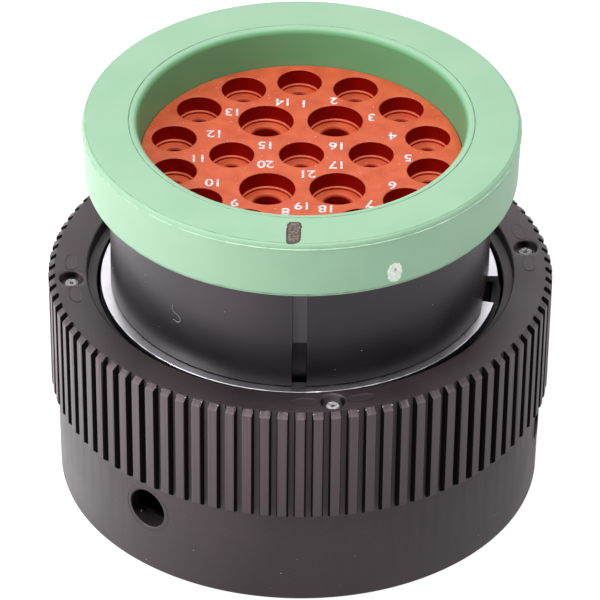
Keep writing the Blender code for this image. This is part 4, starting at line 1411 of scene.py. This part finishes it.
# %% Floor and world
GLOWING_SHARE = 0.85
PLAIN_GLOW = 0.85
LEFT_GLOW = 2.2
LEFT_SHINE = 0.5  # more in reflections
FAR_GLOW = 1.5
BACKDROP = 1.12  # what the camera sees directly
LEFT_TO_RIGHT = (-45 * MM, -5 * MM)
NEAR_TO_FAR = (45 * MM, 130 * MM)
PLUG_EDGE = (26.4 * MM, 27.0 * MM)


def stage_material():
    material = bpy.data.materials.new("white_sweep")
    material.use_nodes = True
    tree = material.node_tree
    tree.nodes.clear()
    paths = add(tree, "LightPath")
    position = add(tree, "TexCoord").outputs["Object"]
    from_axis = axis_distance(tree, position)
    at_left = add(tree, "Math", paths.outputs["Is Glossy Ray"], LEFT_SHINE, LEFT_GLOW, operation="MULTIPLY_ADD")
    sideways = add(tree, "SeparateXYZ", position).outputs["X"]
    glow = add(tree, "MapRange", sideways, *LEFT_TO_RIGHT, at_left, PLAIN_GLOW)
    far_glow = add(tree, "MapRange", from_axis, *NEAR_TO_FAR, PLAIN_GLOW, FAR_GLOW)
    backdrop = add(tree, "Math", paths.outputs["Is Camera Ray"], BACKDROP, operation="MULTIPLY")
    brighter = add(tree, "Math", glow, far_glow, operation="MAXIMUM")
    brightest = add(tree, "Math", brighter, backdrop, operation="MAXIMUM")
    beyond = add(tree, "MapRange", from_axis, *PLUG_EDGE)
    strength = add(tree, "Math", brightest, beyond, operation="MULTIPLY")
    paper = add(tree, "BsdfDiffuse", Color=grey(0.9))
    white = add(tree, "Emission", Color=grey(1.0), Strength=strength)
    sweep = add(tree, "MixShader", GLOWING_SHARE, paper, white)
    add(tree, "OutputMaterial", Surface=sweep)
    return material


deselect()
bpy.ops.mesh.primitive_plane_add(size=6, location=(0, 0, -0.01 * MM))
floor = bpy.context.object
floor.name = "white_table"
floor.data.materials.append(stage_material())

WORLD_LIGHT = 0.13
SKY_SHINE = (2.5, 1.1)  # in reflections, from left to right
world = bpy.data.worlds.new("white_studio")
world.use_nodes = True
bpy.context.scene.world = world
tree = world.node_tree
tree.nodes.clear()
paths = add(tree, "LightPath")
seen = add(tree, "Math", paths.outputs["Is Camera Ray"], paths.outputs["Is Glossy Ray"], operation="MAXIMUM")
seen = add(tree, "Math", seen, paths.outputs["Is Transmission Ray"], operation="MAXIMUM")
direction = add(tree, "TexCoord").outputs["Generated"]
sideways = add(tree, "SeparateXYZ", direction).outputs["X"]
shine = add(tree, "MapRange", sideways, -1.0, 1.0, *SKY_SHINE)
strength = add(tree, "Mix", seen, WORLD_LIGHT, shine, data_type="FLOAT")
sky = add(tree, "Background", Color=grey(1.0), Strength=strength)
add(tree, "OutputWorld", Surface=sky)


# %% Lamps
def softbox(name, position, size, power):
    light = bpy.data.lights.new(name, "AREA")
    light.shape = "SQUARE"
    light.size = size
    light.energy = power
    return aimed("lamp", name, light, position, (0, 0, 25 * MM))


softbox("key_left", (-0.58, -0.21, 0.5), 0.3, 3.2)
softbox("top", (0.02, -0.07, 0.42), 0.22, 1.3)

# %% Finish
scene = bpy.context.scene
scene.view_settings.view_transform = "Standard"
